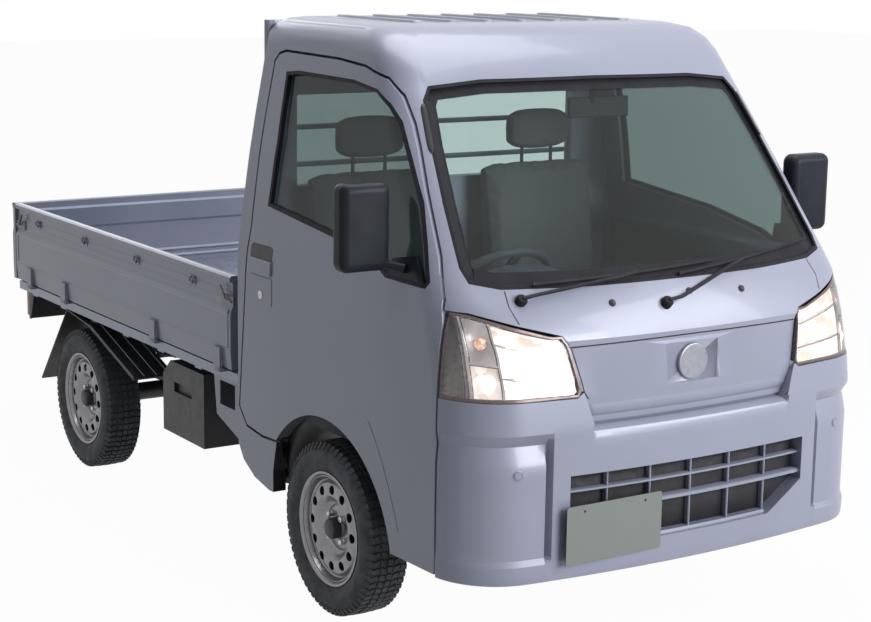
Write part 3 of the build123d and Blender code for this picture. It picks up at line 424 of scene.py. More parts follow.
@dataclass(frozen=True)
class Cloth:
    """Woven seat cloth."""

    name: str
    base: Colour
    thread: Colour

    def material(self) -> bpy.types.Material:
        """Return a plain weave with soft sheen."""
        n = Nodes(self.name)
        across = n.add("TexWave", {"wave_type": "BANDS", "bands_direction": "X"}, Vector=n.place, Scale=190.0,
                       Distortion=0.6)
        along = n.add("TexWave", {"wave_type": "BANDS", "bands_direction": "Z"}, Vector=n.place, Scale=190.0,
                      Distortion=0.6)
        weave = n.add("Math", {"operation": "MULTIPLY"}, n0=across.outputs[1], n1=along.outputs[1]).outputs[0]
        n.link(n.mix(weave, self.base, self.thread), "Base Color")
        n.bump(weave, 0.0005, 0.6)
        n.set(Roughness=0.9, Sheen_Weight=0.25)
        return n.material


@dataclass(frozen=True)
class Glass:
    """Thin window glass, seen through without bending."""

    name: str
    clear: Colour
    reflect: float = 1.0

    def material(self) -> bpy.types.Material:
        """Return glass that mixes clear and glossy by the angle of view."""
        n = Nodes(self.name)
        tree = n.tree
        through = n.add("BsdfTransparent", Color=self.clear)
        gloss = n.add("BsdfGlossy", Color=(1, 1, 1, 1), Roughness=0.02)
        film = n.noise(5.0)
        edge = n.add("LayerWeight", Blend=0.5).outputs["Facing"]
        sharp = n.add("Math", {"operation": "POWER"}, n0=edge, n1=4.0)
        amount = n.add("Math", {"operation": "MULTIPLY_ADD"}, n0=sharp.outputs[0], n1=self.reflect, n2=0.02)
        haze = n.add("Math", {"operation": "MULTIPLY_ADD"}, n0=film, n1=0.01, n2=amount.outputs[0])
        mix = n.add("MixShader", n0=haze.outputs[0], n1=through.outputs[0], n2=gloss.outputs[0])
        tree.links.new(mix.outputs[0], tree.nodes["Material Output"].inputs["Surface"])
        return n.material


@dataclass(frozen=True)
class Glow:
    """A lit lamp chamber or bulb."""

    name: str
    colour: Colour
    strength: float
    cells: float = 60.0

    def material(self) -> bpy.types.Material:
        """Return a bright reflector with facets of light."""
        n = Nodes(self.name)
        facet = n.add("TexVoronoi", Vector=n.place, Scale=self.cells).outputs[1]
        grey = n.add("RGBToBW", Color=facet).outputs[0]
        n.link(n.mix(grey, self.colour, tint(1, 1, 1)), "Emission Color")
        level = n.add("MapRange", Value=grey, To_Min=self.strength * 0.45, To_Max=self.strength * 1.3)
        n.link(level.outputs[0], "Emission Strength")
        dim = tuple(c * 0.55 for c in self.colour[:3]) + (1,)
        n.link(n.mix(grey, dim, tint(0.6, 0.6, 0.6)), "Base Color")
        n.set(Roughness=0.3, Metallic=0.2)
        return n.material


SLOTS = {
    "body_paint": "PAINT BED", "black_plastic": "TRIM SEAL SEAM DASH LINING BEZEL", "chassis_paint": "CHASSIS",
    "chrome": "STEEL CASTING FLUTE", "lamp_lens": "LENS LIT BULB AMBER REFLECTOR", "wheel_steel": "RIM",
    "seat_cloth": "SEAT HEADLINER", "tyre": "TYRE",
}


class Finish(Enum):
    """Every finish that the truck wears."""

    PAINT = Paint()
    UNDERCOAT = Paint("inner_paint", tint(0.22, 0.24, 0.30), tint(0.17, 0.185, 0.235), 0.35, 0.5, 0.2)
    BED = Paint("bed_paint", tint(0.23, 0.26, 0.335), tint(0.17, 0.195, 0.26), 0.4, 0.42, 0.4)
    TRIM = Plastic("black_trim", tint(0.022, 0.023, 0.026), 0.42)
    MIRROR = Plastic("mirror_shell", tint(0.011, 0.0125, 0.018), 0.36, 900.0, 0.00005, 0.1)
    DASH = Plastic("dash_plastic", tint(0.028, 0.032, 0.042), 0.55)
    LINING = Plastic("door_lining", tint(0.032, 0.037, 0.048), 0.6)
    HEADLINER = Plastic("headliner", tint(0.38, 0.4, 0.42), 0.8)
    # Near-black for the dark joints between pressings, and painted shade on the sheet behind the grille.
    SEAM = Rubber("seam_gap_and_shade", tint(0.012, 0.012, 0.015), tint(0.02, 0.02, 0.024))
    SEAL = Rubber("window_seal", tint(0.008, 0.008, 0.011), tint(0.014, 0.014, 0.018), 0.55, 0.14)
    TYRE = Rubber("tyre_rubber")
    RIM = Metal("wheel_silver", tint(0.25, 0.245, 0.26), 0.85, 0.3, tint(0.08, 0.076, 0.08), 0.3)
    CHASSIS = Metal("chassis_black", tint(0.02, 0.02, 0.024), 0.2, 0.5)
    CASTING = Metal("casting", tint(0.2, 0.2, 0.21), 0.7, 0.5)
    BADGE = Metal("badge_disc", tint(0.27, 0.28, 0.32), 0.6, 0.34, tint(0.24, 0.25, 0.29), 0.1)
    STEEL = Metal("bright_steel", tint(0.5, 0.5, 0.53), 0.9, 0.32, tint(0.2, 0.19, 0.18), 0.2)
    EXHAUST = Metal("exhaust_steel", tint(0.17, 0.14, 0.12), 0.8, 0.45)
    PLATE = Metal("blank_plate", tint(0.138, 0.158, 0.149), 0.0, 0.55, tint(0.128, 0.141, 0.135), 0.2)
    GRILLE = Paint("grille_bar", tint(0.22, 0.235, 0.29), tint(0.17, 0.18, 0.225), 0.5, 0.34, 0.4)
    SEAT = Cloth("seat_cloth", tint(0.014, 0.018, 0.027), tint(0.036, 0.043, 0.058))
    PANE = Glass("window_glass", tint(0.80, 0.86, 0.85), 0.25)
    TINTED = Glass("side_glass", tint(0.41, 0.47, 0.47), 0.25)
    LENS = Glass("lamp_cover", tint(0.95, 0.95, 0.95), 0.4)
    REFLECTOR = Metal("reflector", tint(0.60, 0.56, 0.57), 0.9, 0.2, tint(0.16, 0.12, 0.12), 0.75)
    LIT = Glow("lit_reflector", tint(1.0, 0.74, 0.58), 0.55, 45.0)
    BULB = Glow("bulb", tint(1.0, 0.93, 0.85), 1.6)
    BEZEL = Metal("lamp_bezel", tint(0.13, 0.09, 0.09), 0.3, 0.3)
    FLUTE = Metal("lamp_flutes", tint(0.40, 0.37, 0.375), 0.45, 0.3, tint(0.24, 0.22, 0.22), 0.5)
    AMBER = Glow("amber_lens", tint(0.95, 0.30, 0.02), 0.7, 150.0)
    TAIL = Glow("tail_lens", tint(0.42, 0.012, 0.012), 0.05, 180.0)

    @property
    def slot(self) -> str:
        """Return the record's slot that a piece of this finish takes."""
        return next(slot for slot, names in SLOTS.items() if self.name in names.split())

    def get(self) -> bpy.types.Material:
        """Return the finish's material, made on first use."""
        return bpy.data.materials.get(self.value.name) or self.value.material()


# ---- making and placing pieces ------------------------------------------------
class Form:
    """A mesh built up from simple worked shapes, in millimetres."""

    def __init__(self) -> None:
        """Start with nothing."""
        self.points: list[Point] = []
        self.faces: list[list[int]] = []

    def grid(self, rows: Sequence[Sequence[Point]], closed: bool = False, wrap: bool = False) -> "Form":
        """Add a sheet of quads through rows of points.

        Args:
            rows: Rows of equal length.
            closed: Join each row's end to its start.
            wrap: Join the last row to the first.

        Returns:
            This form.
        """
        start, wide, tall = len(self.points), len(rows[0]), len(rows)
        for row in rows:
            self.points += [tuple(p) for p in row]
        for j in range(tall if wrap else tall - 1):
            for i in range(wide if closed else wide - 1):
                a, b = start + j * wide, start + ((j + 1) % tall) * wide
                k = (i + 1) % wide
                self.faces.append([a + i, a + k, b + k, b + i])
        return self

    def prism(self, outline: Sequence[Point], move: Point) -> "Form":
        """Add a closed prism.

        Args:
            outline: The first end's points.
            move: From the first end to the other.

        Returns:
            This form.
        """
        start, n = len(self.points), len(outline)
        far = [tuple(a + b for a, b in zip(p, move)) for p in outline]
        self.points += [tuple(p) for p in outline] + far
        self.faces.append(list(range(start + n - 1, start - 1, -1)))
        self.faces.append(list(range(start + n, start + 2 * n)))
        for i in range(n):
            k = (i + 1) % n
            self.faces.append([start + i, start + k, start + n + k, start + n + i])
        return self

    def box(self, low: Point, high: Point) -> "Form":
        """Add a box between two corners."""
        (x0, y0, z0), (x1, y1, z1) = low, high
        return self.prism([(x0, y0, z0), (x1, y0, z0), (x1, y1, z0), (x0, y1, z0)], (0, 0, z1 - z0))

    def tube(self, path: Sequence[Point], radius: float, sides: int = 12, flat: float = 1.0) -> "Form":
        """Add a closed round or oval bar along a path.

        Args:
            path: Points that the bar's middle follows.
            radius: The bar's radius.
            sides: Faces round the bar.
            flat: Height of the section as a share of its width.

        Returns:
            This form.
        """
        spine = [Vector(p) for p in path]
        up = Vector((0, 0, 1))
        rings = []
        for i, p in enumerate(spine):
            along = (spine[min(i + 1, len(spine) - 1)] - spine[max(i - 1, 0)]).normalized()
            if abs(along.dot(up)) > 0.95:
                up = Vector((1, 0, 0))
            a = along.cross(up).normalized()
            b = a.cross(along).normalized()
            rings.append([tuple(p + a * radius * math.cos(t) + b * radius * flat * math.sin(t))
                          for t in (2 * math.pi * k / sides for k in range(sides))])
        start = len(self.points)
        self.grid(rings, closed=True)
        self.faces.append([start + k for k in range(sides)])
        last = start + (len(rings) - 1) * sides
        self.faces.append([last + k for k in range(sides)][::-1])
        return self

    def lathe(self, profile: Outline, centre: Point, axis: Point, turns: int = 48, ring: bool = False) -> "Form":
        """Add a turned shape.

        Args:
            profile: Places along the axis and radii.
            centre: Where the axis starts.
            axis: The axis's direction.
            turns: Faces round the axis.
            ring: Close the profile on itself.

        Returns:
            This form.
        """
        turn = Vector((0, 0, 1)).rotation_difference(Vector(axis)).to_matrix()
        rows = []
        for k in range(turns):
            t = 2 * math.pi * k / turns
            rows.append([tuple(Vector(centre) + turn @ Vector((r * math.cos(t), r * math.sin(t), a)))
                         for a, r in profile])
        return self.grid(rows, closed=ring, wrap=True)

    def add(self, other: "Form") -> "Form":
        """Add another form's shapes."""
        start = len(self.points)
        self.points += other.points
        self.faces += [[start + i for i in face] for face in other.faces]
        return self

    def mirrored(self) -> "Form":
        """Add the same shapes on the other side of the truck."""
        start = len(self.points)
        self.faces += [[start + i for i in face][::-1] for face in self.faces]
        self.points += [(-x, y, z) for x, y, z in self.points]
        return self

    def mesh(self, name: str) -> bpy.types.Mesh:
        """Return the form as a mesh in metres with its faces outwards.

        Args:
            name: The mesh's name.

        Returns:
            The mesh.
        """
        mesh = bpy.data.meshes.new(name)
        mesh.from_pydata([[c * MM for c in p] for p in self.points], [], self.faces)
        work = bmesh.new()
        work.from_mesh(mesh)
        bmesh.ops.remove_doubles(work, verts=work.verts, dist=MERGE)
        bmesh.ops.recalc_face_normals(work, faces=work.faces)
        work.to_mesh(mesh)
        work.free()
        return mesh


def place(name: str, source: Form | bpy.types.Mesh, finish: Finish | Sequence[Finish], body: str = "root",
          slot: str = "", bevel: float = 0.0, angle: float = 35.0, thick: float = 0.0,
          replaces: Sequence[str] = (), subdivide: int = 0) -> bpy.types.Object:
    """Make an object of a form, dress it and let it ride on a body.

    Args:
        name: The piece's name.
        source: Its form or mesh.
        finish: Its finish, or several for its material slots.
        body: The CAD body that it rides on.
        slot: The record's slot for its finish, if not the finish's own; not used.
        bevel: Width of a rounded edge in millimetres.
        angle: Edges sharper than this stay sharp, in degrees.
        thick: Wall given to an open sheet in millimetres, inwards.
        replaces: CAD nodes that it stands for.
        subdivide: Levels of subdivision.

    Returns:
        The object.
    """
    mesh = source.mesh(name) if isinstance(source, Form) else source
    obj = bpy.data.objects.new(name, mesh)
    bpy.context.collection.objects.link(obj)
    worn = finish if isinstance(finish, (list, tuple)) else [finish]
    for one in worn:
        mesh.materials.append(one.get())
    mesh.shade_smooth()
    mesh.set_sharp_from_angle(angle=math.radians(angle))
    if thick:
        wall = obj.modifiers.new("wall", "SOLIDIFY")
        wall.thickness, wall.offset = thick * MM, -1.0
    if bevel:
        edge = obj.modifiers.new("edge", "BEVEL")
        edge.width, edge.segments, edge.limit_method = bevel * MM, 2, "ANGLE"
        edge.angle_limit, edge.harden_normals = math.radians(40), True
    if subdivide:
        fine = obj.modifiers.new("fine", "SUBSURF")
        fine.levels = fine.render_levels = subdivide
    slot or worn[0].slot
    if replaces:
        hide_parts(*replaces)
    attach(obj, body)
    log.info("%s: %d faces on %s", name, len(mesh.polygons), body)
    return obj


class Pattern:
    """A Geometry Nodes tree that repeats a small mesh in steps and turns."""

    def __init__(self) -> None:
        """Build the tree once, with named inputs for its sizes."""
        tree = bpy.data.node_groups.new("repeat", "GeometryNodeTree")
        sockets = [("Geometry", "NodeSocketGeometry"), ("Count", "NodeSocketInt"), ("Step", "NodeSocketVector"),
                   ("Turn", "NodeSocketVector"), ("Finish", "NodeSocketMaterial")]
        self.names = {}
        for name, kind in sockets:
            self.names[name] = tree.interface.new_socket(name, in_out="INPUT", socket_type=kind).identifier
        tree.interface.new_socket("Geometry", in_out="OUTPUT", socket_type="NodeSocketGeometry")
        new, link = tree.nodes.new, tree.links.new
        given, result = new("NodeGroupInput"), new("NodeGroupOutput")
        points, index = new("GeometryNodePoints"), new("GeometryNodeInputIndex")
        instance, real = new("GeometryNodeInstanceOnPoints"), new("GeometryNodeRealizeInstances")
        paint = new("GeometryNodeSetMaterial")
        scaled = []
        for name in ("Step", "Turn"):
            times = new("ShaderNodeVectorMath")
            times.operation = "SCALE"
            link(given.outputs[name], times.inputs[0])
            link(index.outputs[0], times.inputs["Scale"])
            scaled.append(times.outputs[0])
        link(given.outputs["Count"], points.inputs["Count"])
        link(scaled[0], points.inputs["Position"])
        link(points.outputs[0], instance.inputs["Points"])
        link(given.outputs["Geometry"], instance.inputs["Instance"])
        link(scaled[1], instance.inputs["Rotation"])
        link(instance.outputs[0], real.inputs[0])
        link(real.outputs[0], paint.inputs["Geometry"])
        link(given.outputs["Finish"], paint.inputs["Material"])
        link(paint.outputs[0], result.inputs[0])
        self.tree = tree

    def repeat(self, mesh: bpy.types.Mesh, count: int, finish: Finish, step: Point = (0, 0, 0),
               turn: Point = (0, 0, 0)) -> bpy.types.Mesh:
        """Return a plain mesh of repeats.

        Args:
            mesh: The small mesh, in place for the first repeat.
            count: How many.
            finish: What they wear.
            step: Move from one to the next in millimetres.
            turn: Turn from one to the next in degrees, about the origin.

        Returns:
            The joined mesh.
        """
        obj = bpy.data.objects.new("repeat_work", mesh)
        bpy.context.collection.objects.link(obj)
        modifier = obj.modifiers.new("repeat", "NODES")
        modifier.node_group = self.tree
        modifier[self.names["Count"]] = count
        modifier[self.names["Step"]] = tuple(c * MM for c in step)
        modifier[self.names["Turn"]] = tuple(math.radians(c) for c in turn)
        modifier[self.names["Finish"]] = finish.get()
        bpy.context.view_layer.update()
        result = bpy.data.meshes.new_from_object(obj.evaluated_get(bpy.context.evaluated_depsgraph_get()))
        bpy.data.objects.remove(obj)
        result.materials.clear()
        return result


PATTERN = Pattern()


def moved(mesh: bpy.types.Mesh, matrix: Matrix) -> bpy.types.Mesh:
    """Return a copy of a mesh moved by a matrix, with its faces still outwards."""
    copy = mesh.copy()
    copy.transform(matrix)
    if matrix.determinant() < 0:
        copy.flip_normals()
    return copy


def joined(meshes: Iterable[bpy.types.Mesh], name: str) -> bpy.types.Mesh:
    """Return one mesh that holds several.

    Args:
        meshes: The meshes.
        name: The new mesh's name.

    Returns:
        The joined mesh.
    """
    work = bmesh.new()
    for mesh in meshes:
        work.from_mesh(mesh)
    result = bpy.data.meshes.new(name)
    work.to_mesh(result)
    work.free()
    return result


def cut(mesh: bpy.types.Mesh, tool: bpy.types.Mesh) -> bpy.types.Mesh:
    """Return a closed mesh with another taken away.

    Args:
        mesh: The mesh that is cut.
        tool: The closed mesh taken away from it.

    Returns:
        The cut mesh.
    """
    pair = [bpy.data.objects.new("cut_work", one) for one in (mesh, tool)]
    for obj in pair:
        bpy.context.collection.objects.link(obj)
    modifier = pair[0].modifiers.new("cut", "BOOLEAN")
    modifier.operation, modifier.solver, modifier.object = "DIFFERENCE", "EXACT", pair[1]
    bpy.context.view_layer.update()
    result = bpy.data.meshes.new_from_object(pair[0].evaluated_get(bpy.context.evaluated_depsgraph_get()))
    for obj in pair:
        bpy.data.objects.remove(obj)
    result.materials.clear()
    return result


def inset_outline(points: Outline, inset: float) -> list[tuple[float, float]]:
    """Return an outline moved inwards.

    Args:
        points: A closed outline.
        inset: How far, in millimetres; negative moves outwards.

    Returns:
        The moved outline, point for point.
    """
    area = sum(a[0] * b[1] - b[0] * a[1] for a, b in zip(points, list(points[1:]) + [points[0]]))
    sign = 1.0 if area > 0 else -1.0
    result = []
    for i, p in enumerate(points):
        a, b = Vector(points[i - 1]), Vector(points[(i + 1) % len(points)])
        p = Vector(p)
        n0 = Vector((-(p - a).y, (p - a).x)).normalized() * sign
        n1 = Vector((-(b - p).y, (b - p).x)).normalized() * sign
        m = (n0 + n1) / max(0.35, 1.0 + n0.dot(n1))
        result.append(tuple(p + m * inset))
    return result


def value_on(line: Outline, where: float) -> float:
    """Return the value at a place on a line of places and values, held at its ends."""
    places, values = zip(*line)
    return float(np.interp(where, places, values))


def dense(points: Outline, step: float, closed: bool = True) -> list[tuple[float, float]]:
    """Return a line or outline with points at most a step apart."""
    result = []
    n = len(points) if closed else len(points) - 1
    for i in range(n):
        a, b = Vector(points[i]), Vector(points[(i + 1) % len(points)])
        count = max(1, round((b - a).length / step))
        result += [tuple(a.lerp(b, k / count)) for k in range(count)]
    return result if closed else result + [tuple(points[-1])]


def band(surface: Surface, outline: Outline, wide: float, low: float, high: float,
         closed: bool = True) -> Form:
    """Return a thin band that follows an outline on a surface.

    Args:
        surface: Gives the point at two places and a depth.
        outline: The band's outer line.
        wide: The band's width inwards in millimetres.
        low: Depth of its back.
        high: Depth of its face.
        closed: Whether the line closes.

    Returns:
        The band as a closed form.
    """
    fine = dense(outline, 22.0, closed)
    if closed:
        inner = inset_outline(fine, wide)
    else:
        inner = []
        for i, p in enumerate(fine):
            d = Vector(fine[min(i + 1, len(fine) - 1)]) - Vector(fine[max(i - 1, 0)])
            n = Vector((-d.y, d.x)).normalized()
            inner.append((p[0] + n.x * wide, p[1] + n.y * wide))
    rows = [
        [surface(a[0], a[1], low), surface(a[0], a[1], high), surface(b[0], b[1], high), surface(b[0], b[1], low)]
        for a, b in zip(fine, inner)
    ]
    form = Form().grid(rows, closed=True, wrap=closed)
    if not closed:
        form.faces += [[0, 1, 2, 3], [len(form.points) - 1 - k for k in range(4)]]
    return form


# ---- the cab's skins ----------------------------------------------------------
@dataclass
class Shell:
    """The painted pressings of the cab, with normals that follow their real curves."""

    pieces: dict[str, str] = field(default_factory=lambda: {
        "cab_body": "root", "front_panel": "root", "roof": "root", "door_left": "door_left", "door_right": "door_right",
    })
    insets: tuple[float, ...] = (0, 10)
    near: float = 2.6
    facing: float = 0.8
    inner_depth: float = -24.0
    nose_y: float = -1640.0
    arch: float = 385.0
    arch_facing: float = -0.6

    def build(self) -> None:
        """Make each pressing's piece."""
        for node, body in self.pieces.items():
            self.pressing(node, body)

    def pressing(self, node: str, body: str) -> None:
        """Copy a CAD pressing, merge it and give its outer faces smooth normals.

        Args:
            node: The CAD node.
            body: The body that it rides on.
        """
        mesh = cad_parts[node].data.copy()
        mesh.transform(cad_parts[node].matrix_world)
        work = bmesh.new()
        work.from_mesh(mesh)
        bmesh.ops.remove_doubles(work, verts=work.verts, dist=MERGE)
        work.to_mesh(mesh)
        work.free()
        mesh.materials.clear()
        obj = place(node + "_skin", mesh, [Finish.PAINT, Finish.UNDERCOAT, Finish.TRIM], body, angle=28.0,
                    replaces=[node])
        points = np.array([v.co[:] for v in mesh.vertices]) / MM
        loops = np.array([n.vector[:] for n in mesh.corner_normals])
        corner = np.array([loop.vertex_index for loop in mesh.loops])
        face_normal = np.array([f.normal[:] for f in mesh.polygons])
        first = np.array([f.loop_start for f in mesh.polygons])
        count = np.array([f.loop_total for f in mesh.polygons])
        owner = np.repeat(np.arange(len(first)), count)
        done = np.zeros(len(first), bool)
        for skin, insets in ((CAB, self.insets), (NOSE_TROUGH, (0,))):
            if skin is NOSE_TROUGH and node != "front_panel":
                continue
            gap = skin.outside(points[:, 0], points[:, 1], skin.straight(points[:, 2]))
            normal = skin.normals(points)
            for inset in insets:
                close = np.abs(gap + inset) < self.near
                every = np.ones(len(first), bool)
                np.logical_and.at(every, owner, close[corner])
                facing = np.zeros(len(first))
                np.add.at(facing, owner, (normal[corner] * face_normal[owner]).sum(1))
                use = every & (facing / count > self.facing) & ~done
                done |= use
                pick = use[owner]
                loops[pick] = normal[corner[pick]]
        mesh.normals_split_custom_set([tuple(n) for n in loops])
        middle = np.zeros((len(first), 3))
        np.add.at(middle, owner, points[corner])
        middle /= count[:, None]
        depth = CAB.outside(middle[:, 0], middle[:, 1], CAB.straight(middle[:, 2]))
        inner = (depth < self.inner_depth) & ~done & (middle[:, 1] > self.nose_y)
        spoke = middle[:, 1:] - np.array(FRONT_AXLE)
        reach = np.linalg.norm(spoke, axis=1)
        arch = ~done & (reach < self.arch) & ((spoke * face_normal[:, 1:]).sum(1) < self.arch_facing * reach)
        mesh.polygons.foreach_set("material_index", np.where(arch, 2, inner).astype(np.int32))
        log.info("%s: %d of %d faces follow the smooth surface", obj.name, int(done.sum()), len(first))


@dataclass
class Trim:
    """Seals, frits, seams, handles and other small outside pieces of the cab."""

    glass_depth: float = 14.0
    frit: float = 34.0
    handle_y: tuple[float, float] = (-540, -397)
    arch_crease: Outline = (
        (-1120, 668), (-1160, 622), (-1200, 562), (-1236, 498), (-1266, 436), (-1290, 382),
    )
    lock: Outline = ((-3, 0), (-3, 13), (4.2, 13), (5, 11.5), (5, 4), (3, 3.4), (3, 0))
    jet: Outline = ((-3, 0), (-3, 11), (3, 10), (7, 6), (8, 0))
    jets: Outline = ((216, 1047), (-250, 1047), (20, 1058))
    sensor: Outline = ((-2, 0), (-2, 14), (1, 14), (1.6, 12.5), (0.6, 12), (0.6, 11), (2.2, 10), (2.4, 0))
    strip_top: tuple[float, float] = (580, 1566)
    strip_foot: tuple[float, float] = (606, 1438)
    nose_lines: tuple[Outline, ...] = (
        ((553, 1092), (560, 1052), (548, 1011)),
        ((412, 940), (384, 822), (372, 803)),
    )

    def build(self) -> None:
        """Make every trim piece."""
        full = SCREEN + [(-x, z) for x, z in reversed(SCREEN[1:-1])]
        place("screen_seal", band(CAB.front, full, 9.0, 14.0, 1.5), Finish.SEAL)
        inner = inset_outline(full, 6.0)
        place("screen_border", band(CAB.front, inner, self.frit, self.glass_depth, self.glass_depth - 0.6), Finish.SEAL)
        for side, name in SIDES:
            self.side_pieces(side, name)
        self.seams()
        self.washers()

    def side_pieces(self, side: int, name: str) -> None:
        """Make the seals, the handle and the pillar strip of one side.

        Args:
            side: 1 for the left and -1 for the right.
            name: The side's name.
        """
        def flank(y: float, z: float, inset: float) -> Point:
            """Return the side's surface point."""
            return CAB.flank(y, z, side, inset)

        body = "door_" + name
        place("window_seal_" + name, band(flank, WINDOW, 11.0, 15.0, 1.0), Finish.SEAL, body)
        y0, y1 = self.handle_y
        recess = [(y0, 1036), (y1, 1036), (y1, 1074), (y1 - 14, 1082), (y0 + 14, 1082), (y0, 1074)]
        place("handle_recess_" + name, self.pad(flank, recess, -1.2, 4.0), Finish.TRIM, body, bevel=1.0)
        flap = [(y0 + 6, 990), (y1 - 6, 990), (y1 - 2, 1000), (y1 - 2, 1036), (y0 + 2, 1036), (y0 + 2, 1000)]
        place("handle_flap_" + name, self.pad(flank, flap, -7.0, 4.0), Finish.PAINT, body, bevel=3.0)
        plate = [(y0 + 4, 896), (y1 - 4, 896), (y1, 908), (y1, 984), (y0, 984), (y0, 908)]
        place("handle_plate_" + name, self.pad(flank, plate, -2.2, 4.0), Finish.PAINT, body, bevel=1.5)
        lock = flank(-470.0, 925.0, 0.0)
        place("door_lock_" + name, Form().lathe(self.lock, lock, (side, 0, 0), 28), Finish.STEEL, body)
        crease = band(flank, self.arch_crease, 15.0, 1.0, -1.2, closed=False)
        place("arch_crease_" + name, crease, Finish.PAINT, body, angle=60.0)
        covers = Form()
        for z in (565, 895):
            outer = [flank(-1470.0, h, 1.5) for h in (z, z + 70.0)]
            covers.prism([(outer[0][0], -1472.6, z), (outer[1][0], -1472.6, z + 70.0),
                          (outer[1][0] - side * 17.0, -1472.6, z + 70.0),
                          (outer[0][0] - side * 17.0, -1472.6, z)], (0, 2, 0))
        place("hinge_covers_" + name, covers, Finish.PAINT, body)
        patch = [(-1473.5, 888), (-1454, 888), (-1454, 972), (-1473.5, 972)]
        place("door_edge_" + name, self.pad(flank, patch, -0.5, 2.0), Finish.PAINT, body)
        strip = []
        top, foot = [Vector((side * x, z)) for x, z in (self.strip_top, self.strip_foot)]
        for k in range(17):
            t = k / 16
            p = top.lerp(foot, t)
            half = 8.0 * math.sqrt(max(0.05, 1 - (2 * t - 1) ** 8))
            strip.append([CAB.front(p.x + half * share, p.y, inset)
                          for share, inset in ((-1, -1), (-0.6, -4.5), (0.6, -4.5), (1, -1))])
        place("pillar_strip_" + name, Form().grid(strip), Finish.TRIM, thick=2.0)

    @staticmethod
    def pad(surface: Surface, outline: Outline, high: float, low: float) -> Form:
        """Return a solid patch with an outline on a surface.

        Args:
            surface: Gives the point at two places and a depth.
            outline: The patch's outline.
            high: Depth of its face, negative when proud.
            low: Depth of its back.

        Returns:
            The patch.
        """
        form = Form()
        n = len(outline)
        form.points = [surface(a, b, low) for a, b in outline] + [surface(a, b, high) for a, b in outline]
        form.faces = [list(range(n)), list(range(2 * n - 1, n - 1, -1))]
        form.faces += [[i, n + i, n + (i + 1) % n, (i + 1) % n] for i in range(n)]
        return form

    def seams(self) -> None:
        """Make the dark joints between the nose's pressings."""
        form = band(NOSE_TROUGH.front, [(-412, 940), (0, 944), (412, 940)], 4.0, 1.0, -0.5, closed=False)
        for side in (-1, 1):
            for line in self.nose_lines:
                form.add(band(CAB.front, [(side * x, z) for x, z in line], 3.0, 1.0, -0.4, closed=False))
        place("nose_seams", form, Finish.SEAM)

    def washers(self) -> None:
        """Make the washer jets and the parking sensors."""
        form = Form()
        for x, z in self.jets:
            form.lathe(self.jet, CAB.front(x, z, 0.0), (0, -0.8, 0.6), 20)
        place("washer_jets", form, Finish.TRIM)
        ring = Form()
        for side in (-1, 1):
            p = CAB.front(side * 582.0, 613.0, 4.6)
            ring.lathe(self.sensor, p, tuple(CAB.normals(np.array([p]))[0]), 28)
        place("parking_sensors", ring, Finish.PAINT)


